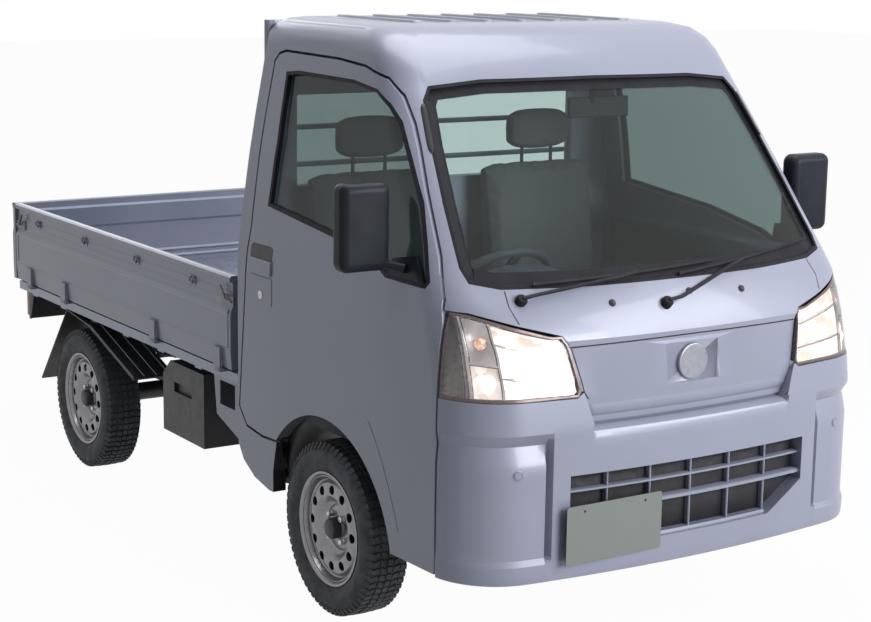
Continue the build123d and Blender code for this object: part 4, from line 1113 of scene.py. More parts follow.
@dataclass
class Bumper:
    """The painted bumper with its set-back pads, chin ledge and lip under the lid, and the thin grille."""

    proud: float = 1.2
    wall: float = 8.0
    turned_in: float = 26.0
    rear_y: float = -1481.0
    lid_half: float = 352.0
    foot: Outline = ((306, 2), (312, -1), (330, -3), (358, -3))
    groove: Outline = ((374, 24), (689, 24), (722, 0))
    pad: Outline = ((374, 6), (628, 6), (689, 24), (722, 0))
    lip: Outline = ((700, 0), (714, 7), (722, 19), (728, 36))
    lid_foot: Outline = (
        (806, 20.6), (790, 20.8), (775, 21.2), (766, 22.5), (757, 27), (748, 32.5), (742, 40),
        (732, 45), (716, 46),
    )
    across: tuple[float, ...] = (
        0, 40, 80, 120, 160, 200, 240, 280, 320, 346, 352, 358, 366, 379, 392, 404, 430,
        455, 480, 492, 500, 530, 560, 585, 610, 632, 652, 670, 686, 700, 717, 733, 750,
        767, 783, 800,
    )
    heights: tuple[float, ...] = (
        306, 312, 330, 348, 358, 366, 374, 400, 440, 480, 520, 560, 600, 628, 648, 668,
        689, 706,
    )
    opening: Outline = ((-430, 600), (430, 600), (430, 465), (290, 380), (-290, 380), (-430, 465))
    upright: Outline = ((-3, 40), (-3.5, 26), (-1.5, 23), (1.5, 23), (3.5, 26), (3, 40))

    def depth(self, a: float, z: float) -> float:
        """Return how deep the bumper's face lies at a place across and a height.

        Args:
            a: Distance from the middle line, from 700 along the flank.
            z: Height.

        Returns:
            Depth below the body surface in millimetres.
        """
        share = value_on(((600, 1), (800, 0.3)), a)
        middle = value_on(((306, 3), (314, 0.6)), z)
        groove = value_on(self.foot + self.groove, z)
        pad = value_on(self.foot + self.pad, z) * share
        value = value_on(((480, middle), (492, groove), (500, pad)), a)
        if a <= self.lid_half:
            value += value_on(self.lip, z)
        return value - self.proud

    def at(self, a: float, z: float, inset: float) -> Point:
        """Return a point of the left half in millimetres."""
        if a <= CORNER_X:
            return CAB.below(CAB.front(a, z), inset)
        return CAB.round_corner((a - CORNER_X) / 100.0, z, self.rear_y, inset)

    def column(self, a: float) -> list[Point]:
        """Return the closed section of the bumper at one place across."""
        top = value_on(((self.lid_half, 728), (379, 808)), a)
        last = self.heights[-1]
        heights = list(self.heights) + [last + (top - last) * v for v in (0.157, 0.36, 0.73, 1)]
        depths = [self.depth(a, z) for z in heights]
        end = depths[-1] + self.turned_in
        face = [self.at(a, z, d) for z, d in zip(heights, depths)] + [self.at(a, top, end)]
        back = [self.at(a, top - self.wall, end)]
        back += [self.at(a, min(z, top - self.wall), d + self.wall) for z, d in reversed(list(zip(heights, depths)))]
        return face + back

    def build(self) -> None:
        """Make the bumper, the apron under the lid and the grille."""
        left = [self.column(a) for a in self.across]
        columns = [[(-x, y, z) for x, y, z in column] for column in reversed(left[1:])] + left
        form = Form().grid(columns, closed=True)
        n = len(columns[0])
        form.faces += [list(range(n)), list(range(len(form.points) - n, len(form.points)))]
        tool = Form().prism([(x, -1800, z) for x, z in self.opening], (0, 300, 0))
        place("bumper_skin", cut(form.mesh("bumper"), tool.mesh("opening")), Finish.PAINT, angle=24.0,
              replaces=["bumper"])
        place("grille_frame", band(CAB.front, self.opening[::-1], 4.0, 44.0, -0.6), Finish.PAINT)
        self.apron()
        self.grille()

    def apron(self) -> None:
        """Make the foot of the lid, which turns in over the bumper's lip."""
        rows = []
        for z, d in self.lid_foot:
            half = self.lid_half + (z - 728.0) * 78.0 / 232.0 - 1.0
            rows.append([CAB.front(x, z, d) for x in np.linspace(-half, half, 27)])
        place("lid_foot", Form().grid(rows), Finish.PAINT, thick=3.0)

    def grille(self) -> None:
        """Make the thin upright and level bars of the grille."""
        form = Form()
        for x in (-290, -145, 0, 145, 290):
            form.grid([[CAB.front(x + dx, z, d) for dx, d in self.upright] for z in (381, 440, 520, 599)], closed=True)
        for z, tall, face in ((546, 9, 18), (490, 15, 10)):
            level = ((-0.8, 40), (-1, face + 6), (-0.6, face), (0.6, face), (1, face + 6), (0.8, 40))
            form.grid([[CAB.front(x, z + dz * tall / 2, d) for dz, d in level]
                       for x in np.linspace(-428.0, 428.0, 25)], closed=True)
        foot = ((380, 42), (380, 14), (392, 18), (392, 42))
        form.grid([[CAB.front(x, z, d) for z, d in foot] for x in np.linspace(-290.0, 290.0, 17)], closed=True)
        place("grille_bars", form, Finish.PAINT, replaces=["grille"])


@dataclass
class Wipers:
    """Two wiper arms with their blades."""

    pivots: tuple[tuple[Point, tuple[float, float], tuple[float, float]], ...] = (
        ((-520, -1551, 1064), (-470, 1100), (141, 1124)),
        ((-75, -1627, 1033), (0, 1100), (585, 1142)),
    )
    hub: Outline = ((-8, 0), (-8, 17), (12, 17), (18, 13), (20, 0))
    hub_axis: Point = (0, -0.72, 0.69)

    def build(self) -> None:
        """Make both wipers."""
        for name, (pivot, start, end) in zip(("right", "left"), self.pivots):
            form = Form()
            form.lathe(self.hub, pivot, self.hub_axis, 24)
            blade = [CAB.front(start[0] + (end[0] - start[0]) * t, start[1] + (end[1] - start[1]) * t, 4.0)
                     for t in np.linspace(0.0, 1.0, 14)]
            middle = blade[7]
            lift = [(x, y - 9.0, z + 4.0) for x, y, z in blade]
            form.tube(lift, 4.5, 8, 1.3)
            elbow = (pivot[0] + 45.0, pivot[1] - 14.0, pivot[2] + 18.0)
            form.tube([(pivot[0], pivot[1] - 12.0, pivot[2] + 12.0), elbow,
                       (middle[0] - 60.0, middle[1] - 26.0, middle[2] + 2.0),
                       (middle[0], middle[1] - 18.0, middle[2] + 8.0)], 8.0, 10, 0.6)
            place("wiper_" + name, form, Finish.SEAL)


@dataclass
class Lamps:
    """The two headlamps: clear covers over lit, amber and ribbed chambers."""

    front_share: float = 0.72
    inner: float = 0.53
    outer: float = 0.694
    rear_y: float = -1483.0
    depth: float = 36.0
    foot_z: float = 812.0
    start_x: float = 395.0
    top_line: Outline = ((430, 977), (549, 1008), (667, 1042), (735, 1048))
    start_line: Outline = ((812, 400), (826, 388), (951, 416), (977, 433))

    def at(self, u: float, v: float, inset: float) -> Point:
        """Return a point of the left lamp's surface in millimetres.

        Args:
            u: 0 at the badge side and 1 at the door.
            v: 0 at the foot and 1 at the top.
            inset: Depth below the body surface.

        Returns:
            The point.
        """
        x = self.start_x + (CORNER_X - self.start_x) * min(1.0, u / self.front_share)
        z = self.foot_z + (value_on(self.top_line, x) - 3.0 - self.foot_z) * v
        if u < self.front_share:
            start = value_on(self.start_line, z)
            return CAB.below(CAB.front(start + (CORNER_X - start) * u / self.front_share, z), inset)
        return CAB.round_corner((u - self.front_share) / (1 - self.front_share), z, self.rear_y, inset)

    def sheet(self, u0: float, u1: float, v0: float, v1: float, inset: float, across: int = 16, up: int = 10,
              dish: float = 0.0) -> Form:
        """Return a sheet of the lamp between two places, dished by some depth."""
        rows = []
        for j in range(up + 1):
            row = []
            for i in range(across + 1):
                a, b = i / across, j / up
                deep = dish * math.sin(math.pi * a) * math.sin(math.pi * b)
                row.append(self.at(u0 + (u1 - u0) * a, v0 + (v1 - v0) * b, inset + deep))
            rows.append(row)
        return Form().grid(rows)

    def build(self) -> None:
        """Make every layer of both lamps."""
        place("lamp_covers", self.sheet(0.004, 0.996, 0.01, 0.99, 2.0, 30, 10).mirrored(), Finish.LENS, thick=1.5,
              replaces=["headlights"])
        frame_form = Form()
        ring = [(u, 0) for u in np.linspace(0, 1, 30)] + [(1, v) for v in np.linspace(0.1, 1, 9)]
        ring += [(u, 1) for u in np.linspace(1, 0, 30)[1:]] + [(0, v) for v in np.linspace(1, 0, 10)[1:-1]]
        rows = []
        for u, v in ring:
            iu, iv = 0.5 + (u - 0.5) * 0.965, 0.5 + (v - 0.5) * 0.93
            rows.append([self.at(u, v, 1.2), self.at(iu, iv, 1.8), self.at(iu, iv, self.depth),
                         self.at(u, v, self.depth)])
        frame_form.grid(rows, closed=True, wrap=True)
        place("lamp_bezels", frame_form.mirrored(), Finish.BEZEL)
        back = Form()
        back.grid([[self.at(u, v, self.depth + 2.0) for u in np.linspace(0, 1, 24)] for v in np.linspace(0, 1, 6)])
        place("lamp_backs", back.mirrored(), Finish.TRIM, thick=2.0)
        main_dish = self.sheet(0.03, self.inner - 0.01, 0.04, 0.96, 12.0, 24, 16, 20.0)
        place("lamp_main_reflectors", main_dish.mirrored(), Finish.LIT)
        low, high = self.inner + 0.01, self.outer - 0.008
        lower = self.sheet(low, high, 0.04, 0.42, 12.0, 10, 10, 16.0)
        place("lamp_low_reflectors", lower.mirrored(), Finish.LIT)
        upper = self.sheet(low, high, 0.46, 0.96, 16.0, 10, 10, 14.0)
        place("lamp_turn_reflectors", upper.mirrored(), Finish.REFLECTOR)
        self.walls()
        self.bulbs()
        self.flutes()

    def level_wall(self, low: float, high: float, front: float, back: float, us: Iterable[float]) -> Form:
        """Return a level wall between two heights and two depths, through places across."""
        corners = ((low, front), (high, front), (high, back), (low, back))
        return Form().grid([[self.at(u, v, inset) for v, inset in corners] for u in us], closed=True)

    def walls(self) -> None:
        """Make the walls between the chambers."""
        form = Form()
        for u in (self.inner, self.outer):
            corners = ((u - 0.006, 5), (u + 0.006, 5), (u + 0.006, 35), (u - 0.006, 35))
            rows = [[self.at(a, v, inset) for a, inset in corners] for v in np.linspace(0.02, 0.98, 12)]
            form.grid(rows, closed=True)
        form.add(self.level_wall(0.43, 0.46, 6.0, 34.0, np.linspace(self.inner, self.outer, 8)))
        for v in (0.3, 0.72):
            form.add(self.level_wall(v - 0.012, v + 0.012, 9.0, 22.0, np.linspace(0.04, self.inner, 14)))
        place("lamp_walls", form.mirrored(), Finish.REFLECTOR, slot="chrome")

    def bulbs(self) -> None:
        """Make the bulbs."""
        bulbs = (("main", 0.25, 0.48, 24, Finish.BULB), ("low", 0.61, 0.22, 24, Finish.BULB),
                 ("turn", 0.61, 0.7, 17, Finish.AMBER))
        for name, u, v, size, finish in bulbs:
            centre = self.at(u, v, 24.0)
            turn = [(size * 0.72 * math.cos(t), max(0.0, size * math.sin(t))) for t in np.linspace(0, math.pi, 9)]
            place(f"lamp_{name}_bulbs", Form().lathe(turn, centre, (0.25, -1, 0), 20).mirrored(), finish)

    def flutes(self) -> None:
        """Make the upright flutes of the side chamber."""
        form = Form()
        count = 11
        low, high = self.outer + 0.01, 0.985
        rows = []
        for k in range(count * 2 + 1):
            u = low + (high - low) * k / (count * 2)
            deep = 10.0 if k % 2 else 16.0
            rows.append([self.at(u, v, deep) for v in np.linspace(0.03, 0.97, 8)])
        form.grid(rows)
        place("lamp_side_flutes", form.mirrored(), Finish.FLUTE)


@dataclass
class Wheel:
    """One road wheel's tread, disc, cap and nuts, built round the X axis at the origin."""

    track: float = 652.0
    rear_y: float = 1044.0
    pitches: int = 66
    hole: float = 14.6
    hole_circle: float = 119.0
    crown_band: tuple[float, float] = (100, 138)
    carcass: Outline = (
        (-56, 172), (-59, 176), (-66, 188), (-71.5, 205), (-72.5, 218), (-71, 232), (-67, 244),
        (-62, 254), (-54, 260), (-30, 261.5), (0, 262), (30, 261.5), (54, 260), (62, 254),
        (67, 244), (71, 232), (72.5, 218), (71.5, 205), (66, 188), (59, 176), (56, 172),
        (56, 162), (-56, 162),
    )
    blocks: tuple[tuple[float, float, float, float], ...] = (
        (-60, -38, 0.62, 3), (-33, -13, 0.72, -4), (-9, 9, 0.8, 0), (13, 33, 0.72, 4), (38, 60, 0.62, -3),
    )
    rim: Outline = (
        (55.5, 160), (56.5, 172), (59, 176), (63, 175), (62, 168), (55, 163), (50, 161), (46, 156),
        (40, 152), (37, 147), (42, 141), (46, 138),
    )
    dish: Outline = (
        (49, 100), (44, 93), (33, 86), (24, 79), (21, 72), (24, 66), (26, 60), (26, 36), (32, 34), (32, 30), (30, 0),
    )
    barrel: Outline = (
        (56, 159), (40, 152), (-40, 152), (-57, 159), (-60, 175), (-56, 172), (-54, 161.5), (55, 161.5),
    )
    nut: Outline = ((24, 0), (24, 11), (30, 11), (33, 9.5), (41, 9.5), (43, 7.5), (43, 0))
    nut_circle: float = 50.0
    cap: Outline = ((30, 0), (30, 33), (50, 32), (58, 29), (60.5, 22), (61, 0))
    drum: Outline = ((-8, 146), (-8, 22), (14, 22), (14, 90), (-2, 92), (-4, 146))

    def places(self) -> list[tuple[str, Matrix]]:
        """Return each wheel's name and where it stands."""
        result = []
        for end, y in (("front", FRONT_AXLE[0]), ("rear", self.rear_y)):
            for side, name in SIDES:
                turn = Matrix.Rotation(0.0 if side > 0 else math.pi, 4, "Z")
                hub = Matrix.Translation((side * self.track * MM, y * MM, FRONT_AXLE[1] * MM))
                result.append((f"{end}_{name}", hub @ turn))
        return result

    def tread(self) -> bpy.types.Mesh:
        """Return the tread's blocks round the whole tyre."""
        form = Form()
        long = 2 * math.pi * 262.0 / self.pitches
        for low, high, share, skew in self.blocks:
            half = long * share / 2
            base, top = 259.0, 267.6 - 0.0006 * max(abs(low), abs(high)) ** 2
            foot = [(low, -half + skew, base), (high, -half - skew, base), (high, half - skew, base),
                    (low, half + skew, base)]
            head = [(x * 0.985, y * 0.93, top) for x, y, _ in foot]
            start = len(form.points)
            form.points += foot + head
            form.faces += [[start + 4, start + 5, start + 6, start + 7]]
            form.faces += [[start + i, start + (i + 1) % 4, start + 4 + (i + 1) % 4, start + 4 + i] for i in range(4)]
        for side in (-1, 1):
            half = long * 0.31
            start = len(form.points)
            for x, top, low_x, low_z in ((59.0, 262.5, 69.6, 244), (56.0, 259, 65.0, 243)):
                form.points += [(side * x, -half, top), (side * x, half, top),
                                (side * low_x, half * 0.9, low_z), (side * low_x, -half * 0.9, low_z)]
            form.faces += [[start + k for k in face]
                           for face in ([0, 1, 2, 3], [0, 4, 5, 1], [1, 5, 6, 2], [2, 6, 7, 3], [3, 7, 4, 0])]
        return PATTERN.repeat(form.mesh("tread_pitch"), self.pitches, Finish.TYRE, turn=(360.0 / self.pitches, 0, 0))

    def holed_ring(self) -> bpy.types.Mesh:
        """Return the disc's crown with its twelve round holes."""
        low, high = self.crown_band
        middle = self.hole_circle

        def crown(radius: float) -> float:
            """Return the crown's place along the axis at a radius."""
            share = (radius - middle) / (high - middle)
            return 46.0 + 4.5 * (1 - share ** 2) + max(0.0, -3.0 * share)

        half = math.radians(15.0)
        edge = [(a, high) for a in np.linspace(-half, half, 9)[:-1]]
        edge += [(half, r) for r in np.linspace(high, low, 5)[:-1]]
        edge += [(a, low) for a in np.linspace(half, -half, 9)[:-1]]
        edge += [(-half, r) for r in np.linspace(low, high, 5)[:-1]]
        rows: list[list[Point]] = [[], [], []]
        for angle, radius in edge:
            y, z = radius * math.sin(angle), radius * math.cos(angle)
            away = math.atan2(y, z - middle)
            hy, hz = self.hole * math.sin(away), middle + self.hole * math.cos(away)
            my, mz = (y + hy * 2) / 3, (z + hz * 2) / 3
            rows[0].append((crown(radius), y, z))
            rows[1].append((crown(math.hypot(my, mz)), my, mz))
            rows[2].append((crown(math.hypot(hy, hz)) - 1.5, hy, hz))
        rows.append([(x - 6.0, y, z) for x, y, z in rows[2]])
        return PATTERN.repeat(Form().grid(rows, closed=True).mesh("hole"), 12, Finish.RIM, turn=(30, 0, 0))

    def build(self) -> None:
        """Make the four wheels and the spare."""
        def turned(name: str, profile: Outline, turns: int, ring: bool = False) -> bpy.types.Mesh:
            """Return a shape turned round the wheel's axis."""
            return Form().lathe(profile, (0, 0, 0), (1, 0, 0), turns, ring).mesh(name)

        tyre = joined([turned("carcass", self.carcass, 120, ring=True), self.tread()], "tyre")
        rim = turned("rim", self.rim, 96)
        barrel = turned("barrel", self.barrel, 72, ring=True)
        dish = turned("dish", self.dish, 72)
        disc = joined([rim, barrel, dish, self.holed_ring()], "disc")
        nut = turned("nut", self.nut, 6)
        nut.transform(Matrix.Translation((0, 0, self.nut_circle * MM)))
        nuts = PATTERN.repeat(nut, 4, Finish.STEEL, turn=(90, 0, 0))
        nuts.transform(Matrix.Rotation(math.radians(45.0), 4, "X"))
        cap = turned("cap", self.cap, 40)
        drum = turned("drum", self.drum, 48, ring=True)
        for name, matrix in self.places():
            body_name = "wheel_" + name
            place("tread_" + name, moved(tyre, matrix), Finish.TYRE, body_name, angle=40.0, replaces=["tyre_" + name])
            place("disc_" + name, moved(disc, matrix), Finish.RIM, body_name, angle=40.0, replaces=["rim_" + name])
            place("nuts_" + name, moved(nuts, matrix), Finish.STEEL, body_name, angle=20.0)
            place("cap_" + name, moved(cap, matrix), Finish.TRIM, body_name)
            place("drum_" + name, moved(drum, matrix), Finish.CHASSIS, body_name)
        spare = Matrix.Translation((0, 1.385, 0.3976)) @ Matrix.Rotation(math.radians(90.0), 4, "Y")
        place("spare_tread", moved(tyre, spare), Finish.TYRE, "root", angle=40.0, replaces=["spare_wheel"])
        place("spare_disc", moved(disc, spare), Finish.RIM, "root", angle=40.0)


@dataclass
class Liners:
    """Dark liners over the front wheels, flaps, the rear guards' ribs, and a near-black sheet behind the grille that is
    partly painted shade.
    """

    section: Outline = ((432, 310), (560, 310), (630, 316), (668, 336), (686, 358))
    flap: Outline = ((-532, 374), (-534, 396), (-536, 440), (-534, 520))
    rib_x: tuple[float, ...] = (578, 626, 674, 718)
    rib_lines: tuple[Outline, ...] = (((552, 448.5), (955, 572.5)), ((1175, 590), (1446, 278)))

    def build(self) -> None:
        """Make the liners, the flaps, the ribs and the near-black sheet behind the grille, partly painted shade."""
        axle_y, axle_z = FRONT_AXLE
        form = Form().grid([[(x, axle_y - r * math.cos(t), axle_z + r * math.sin(t)) for x, r in self.section]
                            for t in np.linspace(math.radians(9.0), math.radians(171.0), 34)])
        place("wheel_liners", form.mirrored(), Finish.TRIM, thick=3.0)
        flap = Form().grid([[(x, y, z) for x in (470, 560, 640, 704)] for y, z in self.flap])
        place("wheel_flaps", flap.mirrored(), Finish.TRIM, thick=5.0)
        ribs = Form()
        for x in self.rib_x:
            for line in self.rib_lines:
                ribs.tube([(x, y, z) for y, z in line], 2.8, 6)
        place("mudguard_ribs", ribs.mirrored(), Finish.CASTING, slot="chassis_paint")
        # Near-black sheet behind the grille: it stands for the dark parts there and paints the shade of the hollow
        # behind the bars.
        back = Form().grid([[CAB.front(x, z, 43.5) for x in np.linspace(-428.0, 428.0, 24)]
                            for z in (382, 460, 530, 598)])
        place("grille_shade_backing", back, Finish.SEAM, thick=1.0)


@dataclass
class Gates:
    """Hooks, latches, rails and ribs of the drop sides and the bed.

    A line across a gate is given as places out from the gate's outer face and heights.
    """

    half: float = 735.0
    rear: float = 1697.5
    thick: float = 30.0
    band_set_back: float = 10.0
    hinge_out: float = 3.0
    hinge_z: float = 632.0
    hinges: tuple[float, ...] = (-172, 335, 1152, 1510)
    side_hooks: tuple[float, ...] = (35, 490, 963, 1430)
    rear_hooks: tuple[float, ...] = (-560, -190, 190, 560)
    side_rail: Outline = (
        (706, 930), (704.6, 944), (710, 949), (728, 949), (734.6, 944), (735, 930), (726, 928),
    )
    rear_rail: Outline = (
        (1668.5, 930), (1667, 944), (1673, 949), (1691, 949), (1697, 944), (1697.4, 930), (1688, 928),
    )
    outer_lines: tuple[Outline, ...] = (
        ((-0.3, 820), (2, 824), (2, 830), (-6.2, 839.8)),
        ((-0.3, 710), (2.4, 713), (2.4, 716), (-0.4, 722)),
        ((-10.3, 868), (-8.6, 870), (-8.6, 871), (-10.3, 875)),
        ((-10.3, 894), (-8.6, 896), (-8.6, 897), (-10.3, 901)),
    )
    inner_lines: tuple[Outline, ...] = (
        ((-0.3, 828), (4.6, 838), (4.6, 912), (-0.3, 922)),
        ((-0.3, 702), (3.6, 706), (3.6, 710), (-0.3, 718)),
        ((-0.3, 674), (3.6, 678), (3.6, 682), (-0.3, 690)),
    )

    def build(self) -> None:
        """Make every piece of the gates and the bed floor."""
        for side, name in SIDES:
            body = "side_gate_" + name

            def beside(out: float, along: float, z: float) -> Point:
                """Return a side gate's point from its place outwards, along and up."""
                return (side * out, along, z)

            self.hooks(body, beside, self.half - self.band_set_back, self.side_hooks)
            self.lines(body + "_rail", body, beside, [self.side_rail], (-255, -250, 1650, 1660), closed=True)
            self.latches(side, body)
            self.beads(side, body, beside)
            inner = [[(self.half - self.thick - out, z) for out, z in line] for line in self.inner_lines]
            self.lines(body + "_inner_ribs", body, beside, inner, (-225, -215, 1625, 1635), Finish.BED, angle=20.0)
            self.straps(side, body)

        def behind(out: float, along: float, z: float) -> Point:
            """Return the tailgate's point from its place outwards, along and up."""
            return (along, out, z)

        self.hooks("tailgate", behind, self.rear - self.band_set_back, self.rear_hooks)
        self.lines("tailgate_rail", "tailgate", behind, [self.rear_rail], (-734, -728, 728, 734), closed=True)
        outer = [[(self.rear + out, z) for out, z in line] for line in self.outer_lines]
        self.lines("tailgate_beads", "tailgate", behind, outer, (-690, -680, 680, 690), angle=20.0)
        inner = [[(self.rear - self.thick - out, z) for out, z in line] for line in self.inner_lines]
        self.lines("tailgate_inner_ribs", "tailgate", behind, inner, (-660, -650, 650, 660), Finish.BED, angle=20.0)
        rib = Form().grid([[(x, y, z) for x, z in ((-18, 655), (-11, 658.5), (11, 658.5), (18, 655))]
                           for y in (-240, -225, 1620, 1635)]).mesh("bed_rib")
        rib.transform(Matrix.Translation((-0.6, 0, 0)))
        place("bed_floor_ribs", PATTERN.repeat(rib, 13, Finish.BED, step=(100, 0, 0)), Finish.BED)

    @staticmethod
    def hooks(body: str, at: Surface, face: float, spots: Sequence[float]) -> None:
        """Make a gate's rope hooks, each a plate and a bent bar.

        Args:
            body: The gate's body.
            at: Gives a point from places outwards, along and up.
            face: Where the hooks' plates sit.
            spots: The hooks' places along the gate.
        """
        form = Form()
        for spot in spots:
            form.box(at(face - 2.0, spot - 20.0, 876.0), at(face + 2.5, spot + 20.0, 908.0))
            half = ((0, -11, 903), (8, -11, 899), (9, -11, 884))
            bent = half + tuple((out, -step, z) for out, step, z in half[::-1])
            form.tube([at(face + out, spot + step, z) for out, step, z in bent], 3.6, 8)
        place(body + "_hooks", form, Finish.PAINT, body, angle=40.0)

    @staticmethod
    def lines(name: str, body: str, at: Surface, profiles: Sequence[Outline], ends: Sequence[float],
              finish: Finish = Finish.PAINT, angle: float = 35.0, closed: bool = False) -> None:
        """Make the pieces that run along a whole gate.

        Args:
            name: The piece's name.
            body: The gate's body.
            at: Gives a point from places outwards, along and up.
            profiles: The cross sections.
            ends: Where the sections stand along the gate.
            finish: Their finish.
            angle: Edges sharper than this stay sharp.
            closed: Whether the sections close.
        """
        form = Form()
        for profile in profiles:
            form.grid([[at(out, along, z) for out, z in profile] for along in ends], closed=closed)
        place(name, form, finish, body, angle=angle)

    def latches(self, side: int, body: str) -> None:
        """Make the latches at both ends of a side gate."""
        face = self.half - self.band_set_back
        latch = Form()
        for y, out in ((-226, 1), (1616, -1)):
            latch.box((side * (face - 1.0), y - 42.0, 850), (side * (face + 6.0), y + 42.0, 882))
            lever = [(face + 8.0, y - 34.0 * out, 866), (face + 14.0, y, 868), (face + 15.0, y + 34.0 * out, 912)]
            latch.tube([(side * a, b, c) for a, b, c in lever], 6.0, 8, 0.6)
        place(body + "_latches", latch, Finish.CASTING, body, bevel=1.5)

    def beads(self, side: int, body: str, at: Surface) -> None:
        """Make the pressed lines of a side gate's outer face and the upright ones at its ends."""
        bead = Form()
        for line in self.outer_lines:
            bead.grid([[at(self.half + out, y, z) for out, z in line] for y in (-240, -230, 1636, 1646)])
        for y in (-236, 1642):
            bead.box((side * (self.half - 1.0), y - 4.0, 714), (side * (self.half + 1.8), y + 4.0, 826))
        place(body + "_beads", bead, Finish.PAINT, body, angle=20.0)

    def straps(self, side: int, body: str) -> None:
        """Make the straps, rivets and barrels of a side gate's hinges."""
        straps = Form()
        for y in self.hinges:
            straps.box((side * 730.0, y - 27.0, 644), (side * 738.0, y + 27.0, 676))
            for dy in (-15, 15):
                straps.lathe([(0, 0), (0, 6), (3, 5), (4, 0)], (side * 737.5, y + dy, 662), (side, 0, 0), 12)
            barrel = [(-21, 0), (-21, 9), (-18, 10.4), (18, 10.4), (21, 9), (21, 0)]
            straps.lathe(barrel, (side * (self.half + self.hinge_out), y, self.hinge_z), (0, 1, 0), 20)
        place(body + "_hinge_straps", straps, Finish.CASTING, body, bevel=1.0)


@dataclass
class Seats:
    """Two padded seats with head rests."""

    side_x: float = 330.0
    voxel: float = 0.006
    pressure: float = 4.0
    steps: int = 14
    sections: int = 13
    crown: float = 5.0
    cushion: Outline = (
        (-1004, 700), (-1008, 745), (-975, 775), (-860, 776), (-700, 768), (-560, 758), (-545, 720), (-560, 682),
        (-760, 678), (-940, 680),
    )
    back: Outline = (
        (-540, 770), (-528, 900), (-506, 1060), (-486, 1190), (-474, 1280), (-440, 1300), (-404, 1280), (-402, 1150),
        (-414, 980), (-428, 800), (-448, 742), (-500, 738),
    )
    head_rest: Outline = (
        (-478, 1345), (-482, 1400), (-474, 1450), (-440, 1466), (-408, 1450), (-402, 1400), (-408, 1345),
        (-440, 1332),
    )

    def pad(self, outline: Outline, half: float) -> bpy.types.Mesh:
        """Return a closed form with a side outline that shrinks towards its sides.

        Args:
            outline: The pad's y, z outline.
            half: Half its width.

        Returns:
            The mesh, before it is blown up.
        """
        rows = []
        for t in np.linspace(-1.0, 1.0, self.sections):
            rows.append([(half * t, y, z) for y, z in inset_outline(outline, 14.0 * t**6 + self.crown * t * t)])
        form = Form().grid(rows, closed=True)
        n = len(outline)
        last = (self.sections - 1) * n
        form.faces += [list(range(n)), list(range(last, last + n))[::-1]]
        return form.mesh("pad")

    def blow(self, obj: bpy.types.Object, cap: float) -> None:
        """Swell a pad with cloth under pressure.

        Args:
            obj: The pad.
            cap: How far a point may move, in metres.
        """
        remesh = obj.modifiers.new("voxels", "REMESH")
        remesh.mode, remesh.voxel_size = "VOXEL", self.voxel
        graph = bpy.context.evaluated_depsgraph_get()
        mesh = bpy.data.meshes.new_from_object(obj.evaluated_get(graph))
        obj.modifiers.clear()
        old = obj.data
        obj.data = mesh
        bpy.data.meshes.remove(old)
        rest = np.array([v.co[:] for v in mesh.vertices])
        cloth = obj.modifiers.new("cloth", "CLOTH")
        cloth.settings.use_pressure = True
        cloth.settings.uniform_pressure_force = self.pressure
        cloth.settings.effector_weights.gravity = 0.0
        scene = bpy.context.scene
        for step in range(1, self.steps + 1):
            scene.frame_set(step)
        graph = bpy.context.evaluated_depsgraph_get()
        moved_points = np.array([v.co[:] for v in obj.evaluated_get(graph).data.vertices])
        obj.modifiers.clear()
        scene.frame_set(1)
        shift = moved_points - rest
        size = np.linalg.norm(shift, axis=1, keepdims=True)
        shift *= np.minimum(1.0, cap / np.maximum(size, 1e-9))
        mesh.vertices.foreach_set("co", (rest + shift).ravel())
        mesh.update()

    def build(self) -> None:
        """Make both seats."""
        pads = (("cushion", self.cushion, 226, 0.012), ("back", self.back, 222, 0.012),
                ("head_rest", self.head_rest, 118, 0.008))
        for name, outline, half, cap in pads:
            work = bpy.data.objects.new("work", self.pad(outline, half))
            bpy.context.collection.objects.link(work)
            self.blow(work, cap)
            mesh = work.data
            bpy.data.objects.remove(work)
            for side, word in SIDES:
                shape = moved(mesh, Matrix.Translation((side * self.side_x * MM, 0, 0)))
                obj = place(f"seat_{name}_{word}", shape, Finish.SEAT, angle=80.0, subdivide=1,
                            replaces=["seats"] if (name, word) == ("cushion", "left") else ())
        frame_form = Form()
        for side in (-1, 1):
            x = side * self.side_x
            frame_form.box((x - 215.0, -985, 641), (x + 215.0, -440, 676))
            for dx in (-60, 60):
                frame_form.tube([(x + dx, -440, 1285), (x + dx, -440, 1345)], 6.0, 12)
        place("seat_bases", frame_form, Finish.CHASSIS, bevel=4.0)


